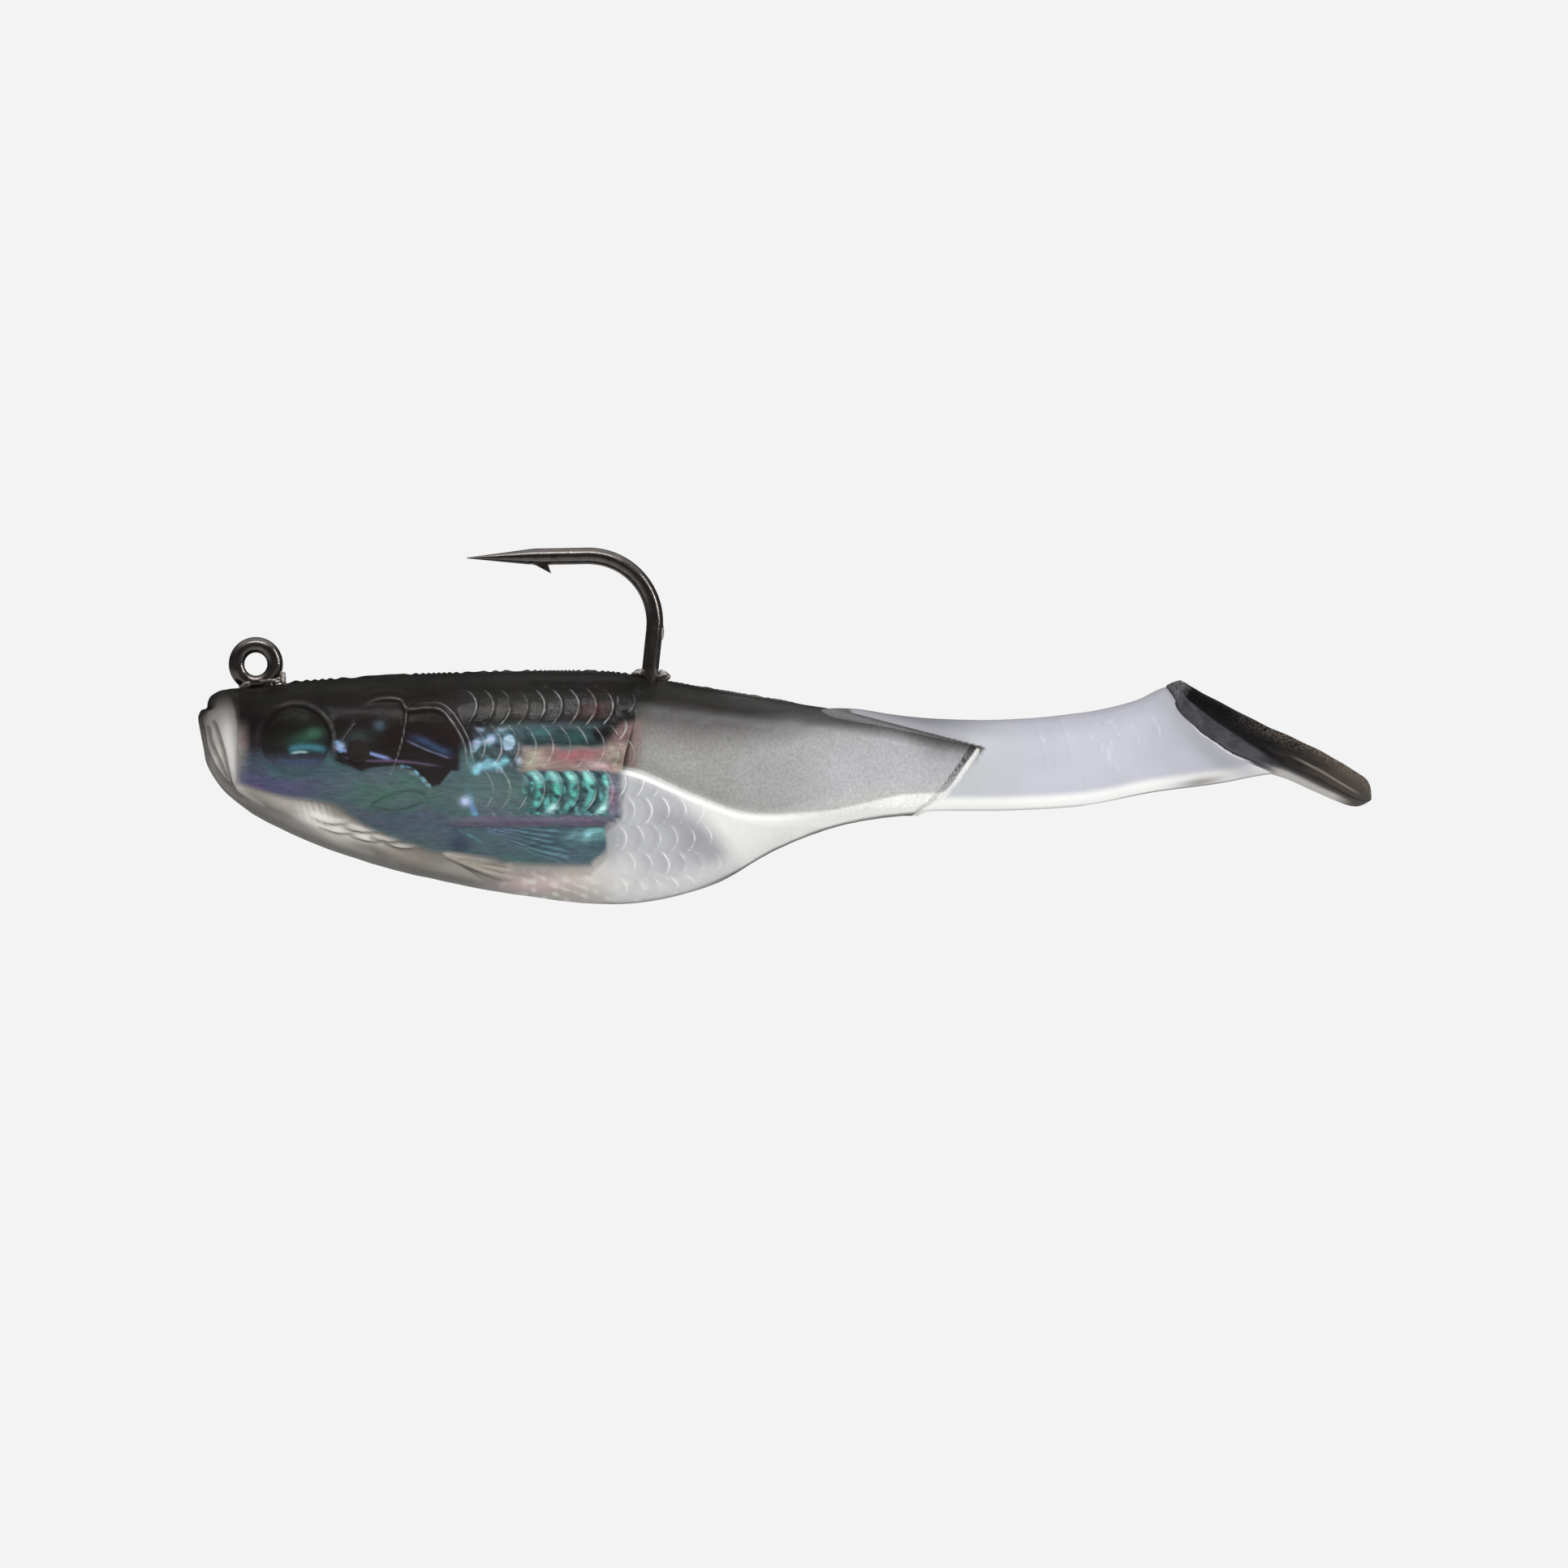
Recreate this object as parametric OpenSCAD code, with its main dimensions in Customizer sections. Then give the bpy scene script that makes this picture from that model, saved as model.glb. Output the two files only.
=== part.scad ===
// Pre-rigged soft swimbait: a clear soft body cast round a jig hook, a lead head and two foil
// flanks, with a pearl tail core that runs out of its back end and carries a dished kicker paddle.
// Origin at the centre of the line-tie eye, nose towards -X, tail towards +X, back towards +Z.
// The soft casting bends at three living hinges about vertical axes. Each one is cut here as a
// round knuckle, so that the stretch behind it is a solid of its own.

/* [Hook] */
// Bore of the line-tie eye
eye_bore_d = 2; // [1.9:0.05:2.1]
// Diameter of the hook wire
wire_d = 1.44; // [1.3:0.02:1.5]
// Distance from the shank up to the spear
hook_gap = 15.45; // [15:0.05:17]
// Length of the spear from the bend to the point
spear_length = 10.4; // [9:0.2:11]

/* [Body] */
// Widest part of the body, across both flanks
body_width = 13; // [12.5:0.25:14.5]
// Thickness of the pearl web in front of the paddle
web_width = 3.8; // [3.2:0.2:4.2]

/* [Paddle] */
// Paddle length along its own slope
paddle_length = 20.2; // [18:0.2:22]
// Paddle width across both rims
paddle_width = 14; // [11:0.5:16]
// How far the rims curl up past the middle of the dish
paddle_curl = 2.5; // [1.6:0.1:3]

/* [Bending] */
// Where the rear body bends behind the hook
body_flex_x = 42.5; // [42:0.5:44]
// Where the web bends behind the body's edge
tail_flex_x = 68; // [67:0.5:69]
// Where the web bends in front of the paddle
paddle_flex_x = 75; // [74:0.5:76]
// Free gap between a knuckle and its socket
flex_gap = 0.3; // [0.2:0.05:0.4]

/* [Hidden] */

$fn = 48;
big = 120;          // longer than the object, for cutting blocks
fit = 0.02;         // room that the casting leaves round what it holds

wire_r = wire_d / 2;
eye_wire_r = wire_r + 0.015;
eye_bore_r = eye_bore_d / 2;
eye_ring_r = eye_bore_r + eye_wire_r - 0.12;   // the bore flattens the ring's inner side
neck_x = 1;
neck_top_z = -1.33;
neck_bend_r = 2;
shank_z = -6.1;
heel_x = 29.35;     // where the shank turns up
heel_r = 4.6;
lean = 6;           // degrees that the rising leg leans back
crown_r = 5.75;     // the round top of the bend
spear_tilt = 1;
leg_length = (hook_gap - heel_r * (1 - sin(lean)) - crown_r * (sin(lean) + cos(spear_tilt)))
    / cos(lean);
point_length = 5.8;
point_r = 0.04;
barb_t = 0.5;
lap = 0.05;         // how far each straight run reaches into the turns at its ends
swell = 0.006;      // how much thicker the wire is in a turn

weight_lobes = [[3.4, -5.6, 3.3], [9.2, -5.6, 3.5], [9, -8.4, 3.6], [18, -6.3, 2.9]];   // [x, z, r]
foil_pip = [9, -7.6];
pip_r = 1;
pip_proud = 0.1;    // how far a pip stands past the foil it keys

foil_out = 0.82;    // share of the body's width at which the foil stands
foil_in = 0.8;

eye_x = 4.6;        // where the eye's axis crosses the middle plane
eye_z = -6.8;
eye_r = 2.4;
eye_in = 4.95;      // inner face of an eye, measured along its own axis
eye_t = 0.7;
eye_dome = 0.35;
eye_turn = 14;      // the flank faces a little forward at the eye

body_end_x = 63.1;
rear_edge = [[30, 6], [46.5, 6], [48, -3.2], [51.5, -4.2], [63.07, -7.28], [57.7, -13.1], [57.4, -26],
    [30, -26]];
knuckle_r = [6, 2.6, 2.5];

core_start_x = 38.2;
core_end_x = 89;
paddle_slope = 30.7;
paddle_at = [78.7, -1.9];

// Lines along the body: [x, z] for the back and the belly, [x, y] for half the width.
back = [[-4.97, -4.5], [-4.75, -4], [-4.2, -3.3], [-3.9, -2.75], [-2.9, -2.2], [0, -1.93], [4.6, -1.54],
    [14.4, -0.98], [25.6, -0.7], [31.2, -0.84], [37.5, -1.89], [44.5, -3.05], [50, -3.95],
    [56, -5.3], [63.1, -7]];
belly = [[-4.97, -4.9], [-4.75, -6], [-4.1, -8.6], [-3.4, -10.1], [-2.4, -11.3], [1.1, -13.6],
    [7.4, -16.3], [15.8, -18.6], [24.2, -20.1], [30.5, -20.7], [35.4, -20.2], [40, -18.75],
    [45.2, -15.9], [50.8, -13.9], [58.5, -12.85], [63.1, -12.7]];
flank = [[-4.97, 0.05], [-4.6, 0.23], [-3.9, 0.4], [-2.4, 0.58], [0, 0.73], [4, 0.89], [10, 0.99],
    [15, 1], [22, 0.98], [30, 0.89], [37, 0.77], [44, 0.66], [52, 0.57], [63.1, 0.48]];

// The pearl core inside the rear body, and the web that it becomes: [x, z] and [x, y].
core_top = [[38, -4.3], [42, -4.4], [46, -4.2], [49, -3.85], [52, -3.9], [55, -4.34], [58.5, -4.69],
    [62, -4.83], [65.5, -4.76], [69, -4.48], [72.5, -4.02], [76, -3.15], [79, -1.95], [89, -3]];
core_low = [[38, -12], [42.4, -13.2], [48, -13.2], [53, -12.95], [59.2, -12.67], [65.5, -12.6],
    [71.8, -12.18], [77.4, -11.1], [83, -10.35], [87, -9.6], [89, -9.4]];
core_half = [[38, 1.95], [44, 1.7], [52, 1.35], [58, 1.12], [64, 1.02], [70, 1], [76, 1.02], [80, 1.2],
    [89, 1.5]];

// The paddle in its own frame: along its slope, out of its middle plane, and half its width.
dish_low = [[0, -0.45], [0.06, -1.1], [0.33, -2.35], [0.5, -2.45], [0.72, -2], [0.95, -0.8], [1, 0.1]];
dish_top = [[0, 0.1], [0.06, 0.35], [0.33, -0.15], [0.5, -0.2], [0.72, 0.1], [0.95, 0.65], [1, 0.25]];
dish_half = [[0, 0.16], [0.03, 0.36], [0.1, 0.55], [0.25, 0.8], [0.5, 0.99], [0.65, 1], [0.8, 0.86],
    [0.92, 0.58], [0.98, 0.3], [1, 0.08]];
dish_curl = [[0, 0.1], [0.05, 0.46], [0.15, 0.66], [0.33, 0.9], [0.5, 1], [0.72, 1], [0.85, 0.9],
    [0.95, 0.5], [1, 0]];

ring_n = 32;        // points round a cast section

// A smooth line through p = [[x, value], ...], read at x.
function step_at(p, x) = max([for (i = [0 : len(p) - 2]) p[i][0] <= x ? i : 0]);
function slope_at(p, i) =
    let (a = max(i - 1, 0), b = min(i + 1, len(p) - 1)) (p[b][1] - p[a][1]) / (p[b][0] - p[a][0]);
function along(p, x) =
    let (i = step_at(p, x), d = p[i + 1][0] - p[i][0], t = (x - p[i][0]) / d)
    (1 + 2 * t) * (1 - t) ^ 2 * p[i][1] + t * (1 - t) ^ 2 * d * slope_at(p, i)
    + t * t * (3 - 2 * t) * p[i + 1][1] + t * t * (t - 1) * d * slope_at(p, i + 1);

// One closed section at x. A square value under 1 fills its corners out, over 1 draws it to a keel.
function section(x, low, top, half, wide, square_up, square_down, curl) =
    let (mid = low + (top - low) * wide)
    [for (i = [0 : ring_n - 1])
        let (a = 360 * i / ring_n, c = cos(a), s = sin(a), k = s >= 0 ? square_up : square_down)
        [x, half * sign(c) * abs(c) ^ k, mid + (s >= 0 ? top - mid : mid - low) * sign(s) * abs(s) ^ k
            + curl * c * c]];

function body_section(x) =
    section(x, along(belly, x), along(back, x), body_width / 2 * along(flank, x), 0.55, 0.85, 0.98, 0);
function core_section(x) =
    section(x, along(core_low, x), along(core_top, x), web_width / 2 * along(core_half, x), 0.5,
        0.5, 0.5, 0);
function paddle_section(u) =
    section(u * paddle_length, along(dish_low, u), along(dish_top, u),
        paddle_width / 2 * along(dish_half, u), 0.5, 0.75, 0.75, paddle_curl * along(dish_curl, u));

// A solid through sections of ring_n points each, closed by its two end faces.
module skin(rings) {
    last = len(rings) - 1;
    polyhedron(
        points = [for (r = rings, p = r) p],
        faces = concat(
            [[for (i = [0 : ring_n - 1]) i]],
            [[for (i = [ring_n - 1 : -1 : 0]) last * ring_n + i]],
            [for (j = [0 : last - 1], i = [0 : ring_n - 1])
                let (n = (i + 1) % ring_n, a = j * ring_n, b = a + ring_n)
                each [[a + i, b + i, b + n], [a + i, b + n, a + n]]]),
        convexity = 8);
}

module outer_body(count = 38) {
    nose_x = back[0][0];
    skin([for (i = [0 : count]) body_section(nose_x + (body_end_x - nose_x) * (i / count) ^ 1.7)]);
}

module outer_core(count = 27) {
    skin([for (i = [0 : count]) core_section(core_start_x + (core_end_x - core_start_x) * i / count)]);
}

// The children in front of a living hinge, hollowed to take the knuckle.
module ahead_of(x, r) {
    difference() {
        children();
        translate([x, 0, -big / 2])
            cylinder(r = r + flex_gap, h = big);
        translate([x, -big / 2, -big / 2])
            cube(big);
    }
}

// The children behind a living hinge, with the round knuckle.
module behind(x, r) {
    intersection() {
        children();
        union() {
            translate([x, 0, -big / 2])
                cylinder(r = r, h = big);
            translate([x, -big / 2, -big / 2])
                cube(big);
        }
    }
}

// A quarter or part turn of wire in the XZ plane, from angle a0 through sweep degrees.
module wire_turn(at, bend_r, a0, sweep, r) {
    translate([at[0], 0, at[1]])
        rotate([90, 0, 0])
            rotate([0, 0, a0])
                rotate_extrude(angle = sweep)
                    translate([bend_r, 0])
                        circle(r + swell);
}

// A straight wire in the XZ plane from a point, at an angle above +X.
module wire_run(from, angle, length, r) {
    translate([from[0], 0, from[1]])
        rotate([0, 90 - angle, 0])
            translate([0, 0, -lap])
                cylinder(r = r, h = length + 2 * lap);
}

// The hook wire from its neck to the end of the spear, grow thicker than it is.
module hook_wire(grow = 0) {
    r = wire_r + grow;
    heel = [heel_x, shank_z + heel_r];
    leg = [heel_x + heel_r * cos(lean), shank_z + heel_r * (1 - sin(lean))];
    crown_foot = leg + leg_length * [sin(lean), cos(lean)];
    crown = crown_foot - crown_r * [cos(lean), -sin(lean)];
    spear = crown + crown_r * [-sin(spear_tilt), cos(spear_tilt)];
    wire_run([neck_x, neck_top_z], -90, neck_top_z - shank_z - neck_bend_r, r);
    wire_turn([neck_x + neck_bend_r, shank_z + neck_bend_r], neck_bend_r, 180, 90, r);
    wire_run([neck_x + neck_bend_r, shank_z], 0, heel_x - neck_x - neck_bend_r, r);
    wire_turn(heel, heel_r, -90, 90 - lean, r);
    wire_run(leg, 90 - lean, leg_length, r);
    wire_turn(crown, crown_r, -lean, 90 + lean + spear_tilt, r);
    straight = spear_length - point_length;
    translate([spear[0], 0, spear[1]])
        rotate([0, -90 - spear_tilt, 0])
            rotate_extrude()
                polygon([[0, -lap], [r, -lap], [r, straight], [point_r, spear_length], [0, spear_length]]);
    point = spear - straight * [cos(spear_tilt), sin(spear_tilt)];
    translate([point[0], barb_t / 2, point[1]])
        rotate([90, 0, 0])
            linear_extrude(barb_t)
                polygon([[-1.2, -0.35], [0.2, -0.75], [1.5, -1.45], [1.1, -0.35]]);
}

// The line-tie eye, a ring of wire bored to its stated size across Y.
module eye_ring(grow = 0) {
    rotate([90, 0, 0])
        rotate_extrude()
            difference() {
                translate([eye_ring_r, 0])
                    circle(eye_wire_r + grow);
                translate([0, -wire_d])
                    square([eye_bore_r, 2 * wire_d]);
            }
}

module hook() {
    color("#26262a") {
        eye_ring();
        hook_wire();
    }
}

// The lead head, cast on the neck and shank, with two pips that key the foils in place.
module weight_solid(grow = 0) {
    hull()
        for (p = weight_lobes)
            translate([p[0], 0, p[1]])
                sphere(p[2] + grow, $fn = 28);
    half = body_width / 2 * foil_out + pip_proud + grow;
    translate([foil_pip[0], half, foil_pip[1]])
        rotate([90, 0, 0])
            cylinder(r = pip_r + grow, h = 2 * half);
}

module head_weight() {
    color("#77787d")
        difference() {
            weight_solid();
            hook_wire(fit);
        }
}

// The children as one finished casting: a size of zero leaves every side as it is.
module one_casting() {
    resize([0, 0, 0])
        children();
}

// One foil flank: a film that follows the body a little under its skin. side is 1 or -1.
module foil(side, grow = 0) {
    intersection() {
        difference() {
            scale([1, foil_out + grow, 1])
                outer_body();
            scale([1, foil_in - grow, 1])
                outer_body();
        }
        translate([0, side > 0 ? big : 0, 0])
            rotate([90, 0, 0])
                linear_extrude(big)
                    polygon([[-0.9 - grow, -4], [1, -2.9], [31.5 + grow, -2.6], [31.9 + grow, -13.2],
                        [30.6, -14.2], [30.2, -17.2], [20, -16.6], [14.4, -15.1], [8, -12.7],
                        [-0.9 - grow, -10.2]]);
    }
}

module left_foil() {
    color("#3f8f86")
        one_casting()
            difference() {
                foil(-1);
                weight_solid();
            }
}

module right_foil() {
    color("#3f8f86")
        one_casting()
            difference() {
                foil(1);
                weight_solid();
            }
}

// One eye: a thin disc with a domed face, set in the flank. side is 1 or -1.
module eye(side, grow = 0) {
    dome_r = (eye_r ^ 2 + eye_dome ^ 2) / (2 * eye_dome);
    translate([eye_x, 0, eye_z])
        mirror([0, side > 0 ? 1 : 0, 0])
            rotate([90, 0, -eye_turn])
                translate([0, 0, eye_in])
                    intersection() {
                        translate([0, 0, -grow])
                            cylinder(r = eye_r + grow, h = eye_t + eye_dome + 2 * grow);
                        translate([0, 0, eye_t + eye_dome - dome_r + grow])
                            sphere(dome_r, $fn = 90);
                    }
}

module left_eye() {
    color("#2b3a34")
        eye(-1);
}

module right_eye() {
    color("#2b3a34")
        eye(1);
}

module front_body() {
    color("#9aa3a0", 0.6)
        one_casting()
            difference() {
                ahead_of(body_flex_x, knuckle_r[0])
                    outer_body();
                eye_ring(fit);
                hook_wire(fit);
                weight_solid(fit);
                for (side = [-1, 1]) {
                    foil(side, 0.004);
                    eye(side, fit);
                }
            }
}

// The clear casting behind the first hinge. Its slanted back edge stands proud of the web.
module rear_body() {
    color("#c3c6c8", 0.6)
        difference() {
            behind(body_flex_x, knuckle_r[0])
                intersection() {
                    outer_body();
                    translate([0, big / 2, 0])
                        rotate([90, 0, 0])
                            linear_extrude(big)
                                polygon(rear_edge);
                }
            outer_core();
        }
}

module tail_core() {
    color("#c9c8dc")
        ahead_of(tail_flex_x, knuckle_r[1])
            outer_core();
}

module tail_web() {
    color("#d2d1e4")
        ahead_of(paddle_flex_x, knuckle_r[2])
            behind(tail_flex_x, knuckle_r[1])
                outer_core();
}

module paddle_blank(count = 24) {
    translate([paddle_at[0], 0, paddle_at[1]])
        rotate([0, paddle_slope, 0])
            skin([for (i = [0 : count]) paddle_section((1 - cos(180 * i / count)) / 2)]);
}

// The web's end, shaped to the underside of the paddle that it carries.
module paddle_root() {
    color("#d2d1e4")
        difference() {
            behind(paddle_flex_x, knuckle_r[2])
                outer_core();
            paddle_blank();
            translate([paddle_at[0], -big / 2, paddle_at[1]])
                rotate([0, paddle_slope, 0])
                    translate([-5, 0, -0.4])
                        cube(big);
        }
}

module paddle() {
    color("#33343a")
        paddle_blank();
}

hook();
head_weight();
left_foil();
right_foil();
left_eye();
right_eye();
front_body();
rear_body();
tail_core();
tail_web();
paddle_root();
paddle();
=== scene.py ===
"""A pre-rigged soft swimbait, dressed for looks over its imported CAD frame.

Lengths are in millimetres until a mesh is made, and x, y and z are the CAD frame's: the nose points to -X,
the back to +Z, and the origin is the centre of the line-tie eye.
"""

import math

import bpy
import numpy as np
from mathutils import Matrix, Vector


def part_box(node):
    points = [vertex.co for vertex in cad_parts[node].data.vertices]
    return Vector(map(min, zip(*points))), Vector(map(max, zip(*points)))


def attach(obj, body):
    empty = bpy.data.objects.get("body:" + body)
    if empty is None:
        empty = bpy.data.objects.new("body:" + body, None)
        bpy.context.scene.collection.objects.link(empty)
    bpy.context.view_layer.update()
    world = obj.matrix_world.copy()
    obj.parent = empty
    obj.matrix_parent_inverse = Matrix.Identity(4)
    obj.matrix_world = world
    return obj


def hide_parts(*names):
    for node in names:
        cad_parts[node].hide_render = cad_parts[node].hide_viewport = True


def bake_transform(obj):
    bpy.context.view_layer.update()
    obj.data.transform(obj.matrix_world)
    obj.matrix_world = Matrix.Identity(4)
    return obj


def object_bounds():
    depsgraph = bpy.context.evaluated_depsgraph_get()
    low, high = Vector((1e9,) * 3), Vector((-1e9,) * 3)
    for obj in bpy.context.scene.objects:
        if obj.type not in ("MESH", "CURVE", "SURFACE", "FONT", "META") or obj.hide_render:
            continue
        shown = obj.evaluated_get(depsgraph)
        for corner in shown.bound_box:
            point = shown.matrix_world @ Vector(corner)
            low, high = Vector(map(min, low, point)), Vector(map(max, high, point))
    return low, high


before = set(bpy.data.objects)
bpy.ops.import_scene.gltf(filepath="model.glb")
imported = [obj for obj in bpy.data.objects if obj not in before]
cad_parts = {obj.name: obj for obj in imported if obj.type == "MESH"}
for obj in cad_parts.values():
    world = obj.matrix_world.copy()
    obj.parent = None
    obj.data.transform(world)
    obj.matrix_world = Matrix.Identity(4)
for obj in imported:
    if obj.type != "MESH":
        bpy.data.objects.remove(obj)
cad_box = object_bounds()

MM = 0.001
SIDES = {"left": -1.0, "right": 1.0}

body_lo, body_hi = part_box("front_body")
web_lo, web_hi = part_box("tail_web")
body_width = (body_hi.y - body_lo.y) / MM
nose_x = body_lo.x / MM
WEB_SHARE = 1.02     # the largest share that CORE_HALF gives along the web
web_width = (web_hi.y - web_lo.y) / MM / WEB_SHARE

# Lines of the lure: [x, z], or [x, share of the half width] for FLANK and CORE_HALF. BACK, BELLY, FLANK and
# DISH_HALF are the CAD source's own. The others start from it and were changed a little.
BACK = [[-4.97, -4.5], [-4.75, -4], [-4.2, -3.3], [-3.9, -2.75], [-2.9, -2.2], [0, -1.93], [4.6, -1.54],
        [14.4, -0.98], [25.6, -0.7], [31.2, -0.84], [37.5, -1.89], [44.5, -3.05], [50, -3.95],
        [56, -5.3], [63.1, -7]]
BELLY = [[-4.97, -4.9], [-4.75, -6], [-4.1, -8.6], [-3.4, -10.1], [-2.4, -11.3], [1.1, -13.6],
         [7.4, -16.3], [15.8, -18.6], [24.2, -20.1], [30.5, -20.7], [35.4, -20.2], [40, -18.75],
         [45.2, -15.9], [50.8, -13.9], [58.5, -12.85], [63.1, -12.7]]
FLANK = [[-4.97, 0.05], [-4.6, 0.23], [-3.9, 0.4], [-2.4, 0.58], [0, 0.73], [4, 0.89], [10, 0.99],
         [15, 1], [22, 0.98], [30, 0.89], [37, 0.77], [44, 0.66], [52, 0.57], [63.1, 0.48]]
CORE_TOP = [[31.2, -2.9], [34, -2.75], [38, -3.4], [42, -4.1], [46, -4.2], [49, -3.85], [52, -3.9],
            [55, -4.34], [58.5, -4.69], [62, -4.83], [65.5, -4.76], [69, -4.48], [72.5, -4.02],
            [76, -3.15], [79, -1.95], [89, -3]]
CORE_LOW = [[31.2, -9.4], [33, -9.75], [35.5, -10.8], [38, -11.9], [42.4, -13.35], [48, -13.3],
            [53, -12.95], [59.2, -12.67], [65.5, -12.6], [71.8, -12.18], [77.4, -11.1],
            [83, -10.35], [87, -9.6], [89, -9.4]]
CORE_HALF = [[31.2, 2.1], [34, 2.1], [38, 1.95], [44, 1.7], [52, 1.35], [58, 1.12], [64, 1.02], [70, 1],
             [76, 1.02], [80, 1.2], [89, 1.5]]
# (z, x) of the clear casting's slanted rear edge
CHEVRON = [(-20, 56.4), (-12.95, 57.2), (-12.6, 58.1), (-11.8, 59.2), (-10.5, 60.6), (-8.6, 62.0),
           (-7.2, 63.05), (-4.2, 51.5), (6, 46.5)]
DISH_LOW = [[0, -0.45], [0.06, -1.3], [0.13, -2.05], [0.22, -2.5], [0.32, -2.65], [0.42, -2.55], [0.54, -2.1],
            [0.65, -1.6], [0.78, -1.3], [0.92, -0.9], [0.965, -0.52], [0.985, -0.05], [1, 0.48]]
DISH_TOP = [[0, 0.1], [0.06, 0.35], [0.33, -0.15], [0.5, -0.2], [0.72, 0.1], [0.93, 0.9], [1, 0.6]]
DISH_HALF = [[0, 0.16], [0.03, 0.36], [0.1, 0.55], [0.25, 0.8], [0.5, 0.99], [0.65, 1], [0.8, 0.86],
             [0.92, 0.58], [0.98, 0.3], [1, 0.08]]
DISH_CURL = [[0, 0.1], [0.05, 0.46], [0.15, 0.66], [0.33, 0.9], [0.5, 1], [0.72, 0.97], [0.83, 0.82],
             [0.92, 0.67], [0.965, 0.48], [0.985, 0.27], [1, 0.02]]
# the dish's lines run from 0 at the paddle's root to 1 at its tip
PADDLE_SLOPE = math.radians(30.7)
PADDLE_AT = (78.7, -1.9)
PADDLE_LENGTH = 20.2
PADDLE_WIDTH = 14.0
PADDLE_CURL = 2.5    # how far the dish's edges rise

# the height at which a section is widest, as a share, and its roundness over and under that
BODY_FORM = (0.55, 0.85, 0.98)
CORE_FORM = (0.5, 0.5, 0.5)


# ---- shapes ---------------------------------------------------------------------------------------------

def along(points, x):
    """The smooth line through [[x, value], ...], read at x, as the CAD source reads it."""
    p = np.array(points, float)
    x = np.clip(np.asarray(x, float), p[0, 0], p[-1, 0])
    i = np.clip(np.searchsorted(p[:, 0], x, side="right") - 1, 0, len(p) - 2)
    n = np.arange(len(p))
    lo, hi = np.maximum(n - 1, 0), np.minimum(n + 1, len(p) - 1)
    slope = (p[hi, 1] - p[lo, 1]) / (p[hi, 0] - p[lo, 0])
    d = p[i + 1, 0] - p[i, 0]
    t = (x - p[i, 0]) / d
    return ((1 + 2 * t) * (1 - t) ** 2 * p[i, 1] + t * (1 - t) ** 2 * d * slope[i]
            + t * t * (3 - 2 * t) * p[i + 1, 1] + t * t * (t - 1) * d * slope[i + 1])


def section(x, a, low, top, half, wide, up, down, curl=0.0):
    """Points (x, y, z) at angle a of the closed sections that the CAD source casts."""
    mid = low + (top - low) * wide
    c, s = np.cos(a), np.sin(a)
    k = np.where(s >= 0, up, down)
    y = half * np.sign(c) * np.abs(c) ** k
    z = mid + np.where(s >= 0, top - mid, mid - low) * np.sign(s) * np.abs(s) ** k + curl * c * c
    return np.stack(np.broadcast_arrays(x, y, z), -1)


def body_at(x, a):
    half = body_width / 2 * along(FLANK, x)
    return section(x, a, along(BELLY, x), along(BACK, x), half, *BODY_FORM)


def core_at(x, a):
    half = web_width / 2 * along(CORE_HALF, x)
    return section(x, a, along(CORE_LOW, x), along(CORE_TOP, x), half, *CORE_FORM)


def body_half_at(x, z):
    """Half the body's width at height z of the section at x."""
    low, top = along(BELLY, x), along(BACK, x)
    wide, up, down = BODY_FORM
    mid = low + (top - low) * wide
    above = z >= mid
    share = np.clip(np.where(above, (z - mid) / (top - mid), (mid - z) / (mid - low)), 0, 1)
    k = np.where(above, up, down)
    s = share ** (1 / k)
    return body_width / 2 * along(FLANK, x) * np.sqrt(np.clip(1 - s * s, 0, 1)) ** k


def smooth(lo, hi, v):
    t = np.clip((v - lo) / (hi - lo), 0, 1)
    return t * t * (3 - 2 * t)


def fall(lo, hi, v):
    return 1 - smooth(lo, hi, v)


def between(v, start, full, fading, end):
    """1 from full to fading, easing to 0 at start and at end."""
    return smooth(start, full, v) * fall(fading, end, v)


def bell(d, w):
    return np.exp(-(d / w) ** 2)


def chevron_x(z):
    """Where the clear casting ends at height z."""
    return np.interp(z, [point[0] for point in CHEVRON], [point[1] for point in CHEVRON])


def curve_through(points, steps=8):
    """A rounded run through given points."""
    p = np.array(points, float)
    p = np.vstack([2 * p[0] - p[1], p, 2 * p[-1] - p[-2]])
    out = []
    for i in range(1, len(p) - 2):
        for t in np.arange(steps) / steps:
            out.append(0.5 * ((2 * p[i]) + (p[i + 1] - p[i - 1]) * t
                              + (2 * p[i - 1] - 5 * p[i] + 4 * p[i + 1] - p[i + 2]) * t ** 2
                              + (3 * p[i] - p[i - 1] - 3 * p[i + 1] + p[i + 2]) * t ** 3))
    out.append(p[-2])
    return np.array(out)


def to_curve(x, z, points):
    """(distance, signed distance, share of the way along) from (x, z) to a rounded run through points."""
    p = curve_through(points)
    best = np.full(x.shape, 1e9)
    signed = np.zeros(x.shape)
    share = np.zeros(x.shape)
    n = len(p) - 1
    for i in range(n):
        d = p[i + 1] - p[i]
        length2 = d @ d
        t = np.clip(((x - p[i, 0]) * d[0] + (z - p[i, 1]) * d[1]) / length2, 0, 1)
        ex, ez = x - p[i, 0] - t * d[0], z - p[i, 1] - t * d[1]
        dist = np.hypot(ex, ez)
        side = np.sign(d[0] * ez - d[1] * ex)
        near = dist < best
        best = np.where(near, dist, best)
        signed = np.where(near, dist * side, signed)
        share = np.where(near, (i + t) / n, share)
    return best, signed, share


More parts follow.
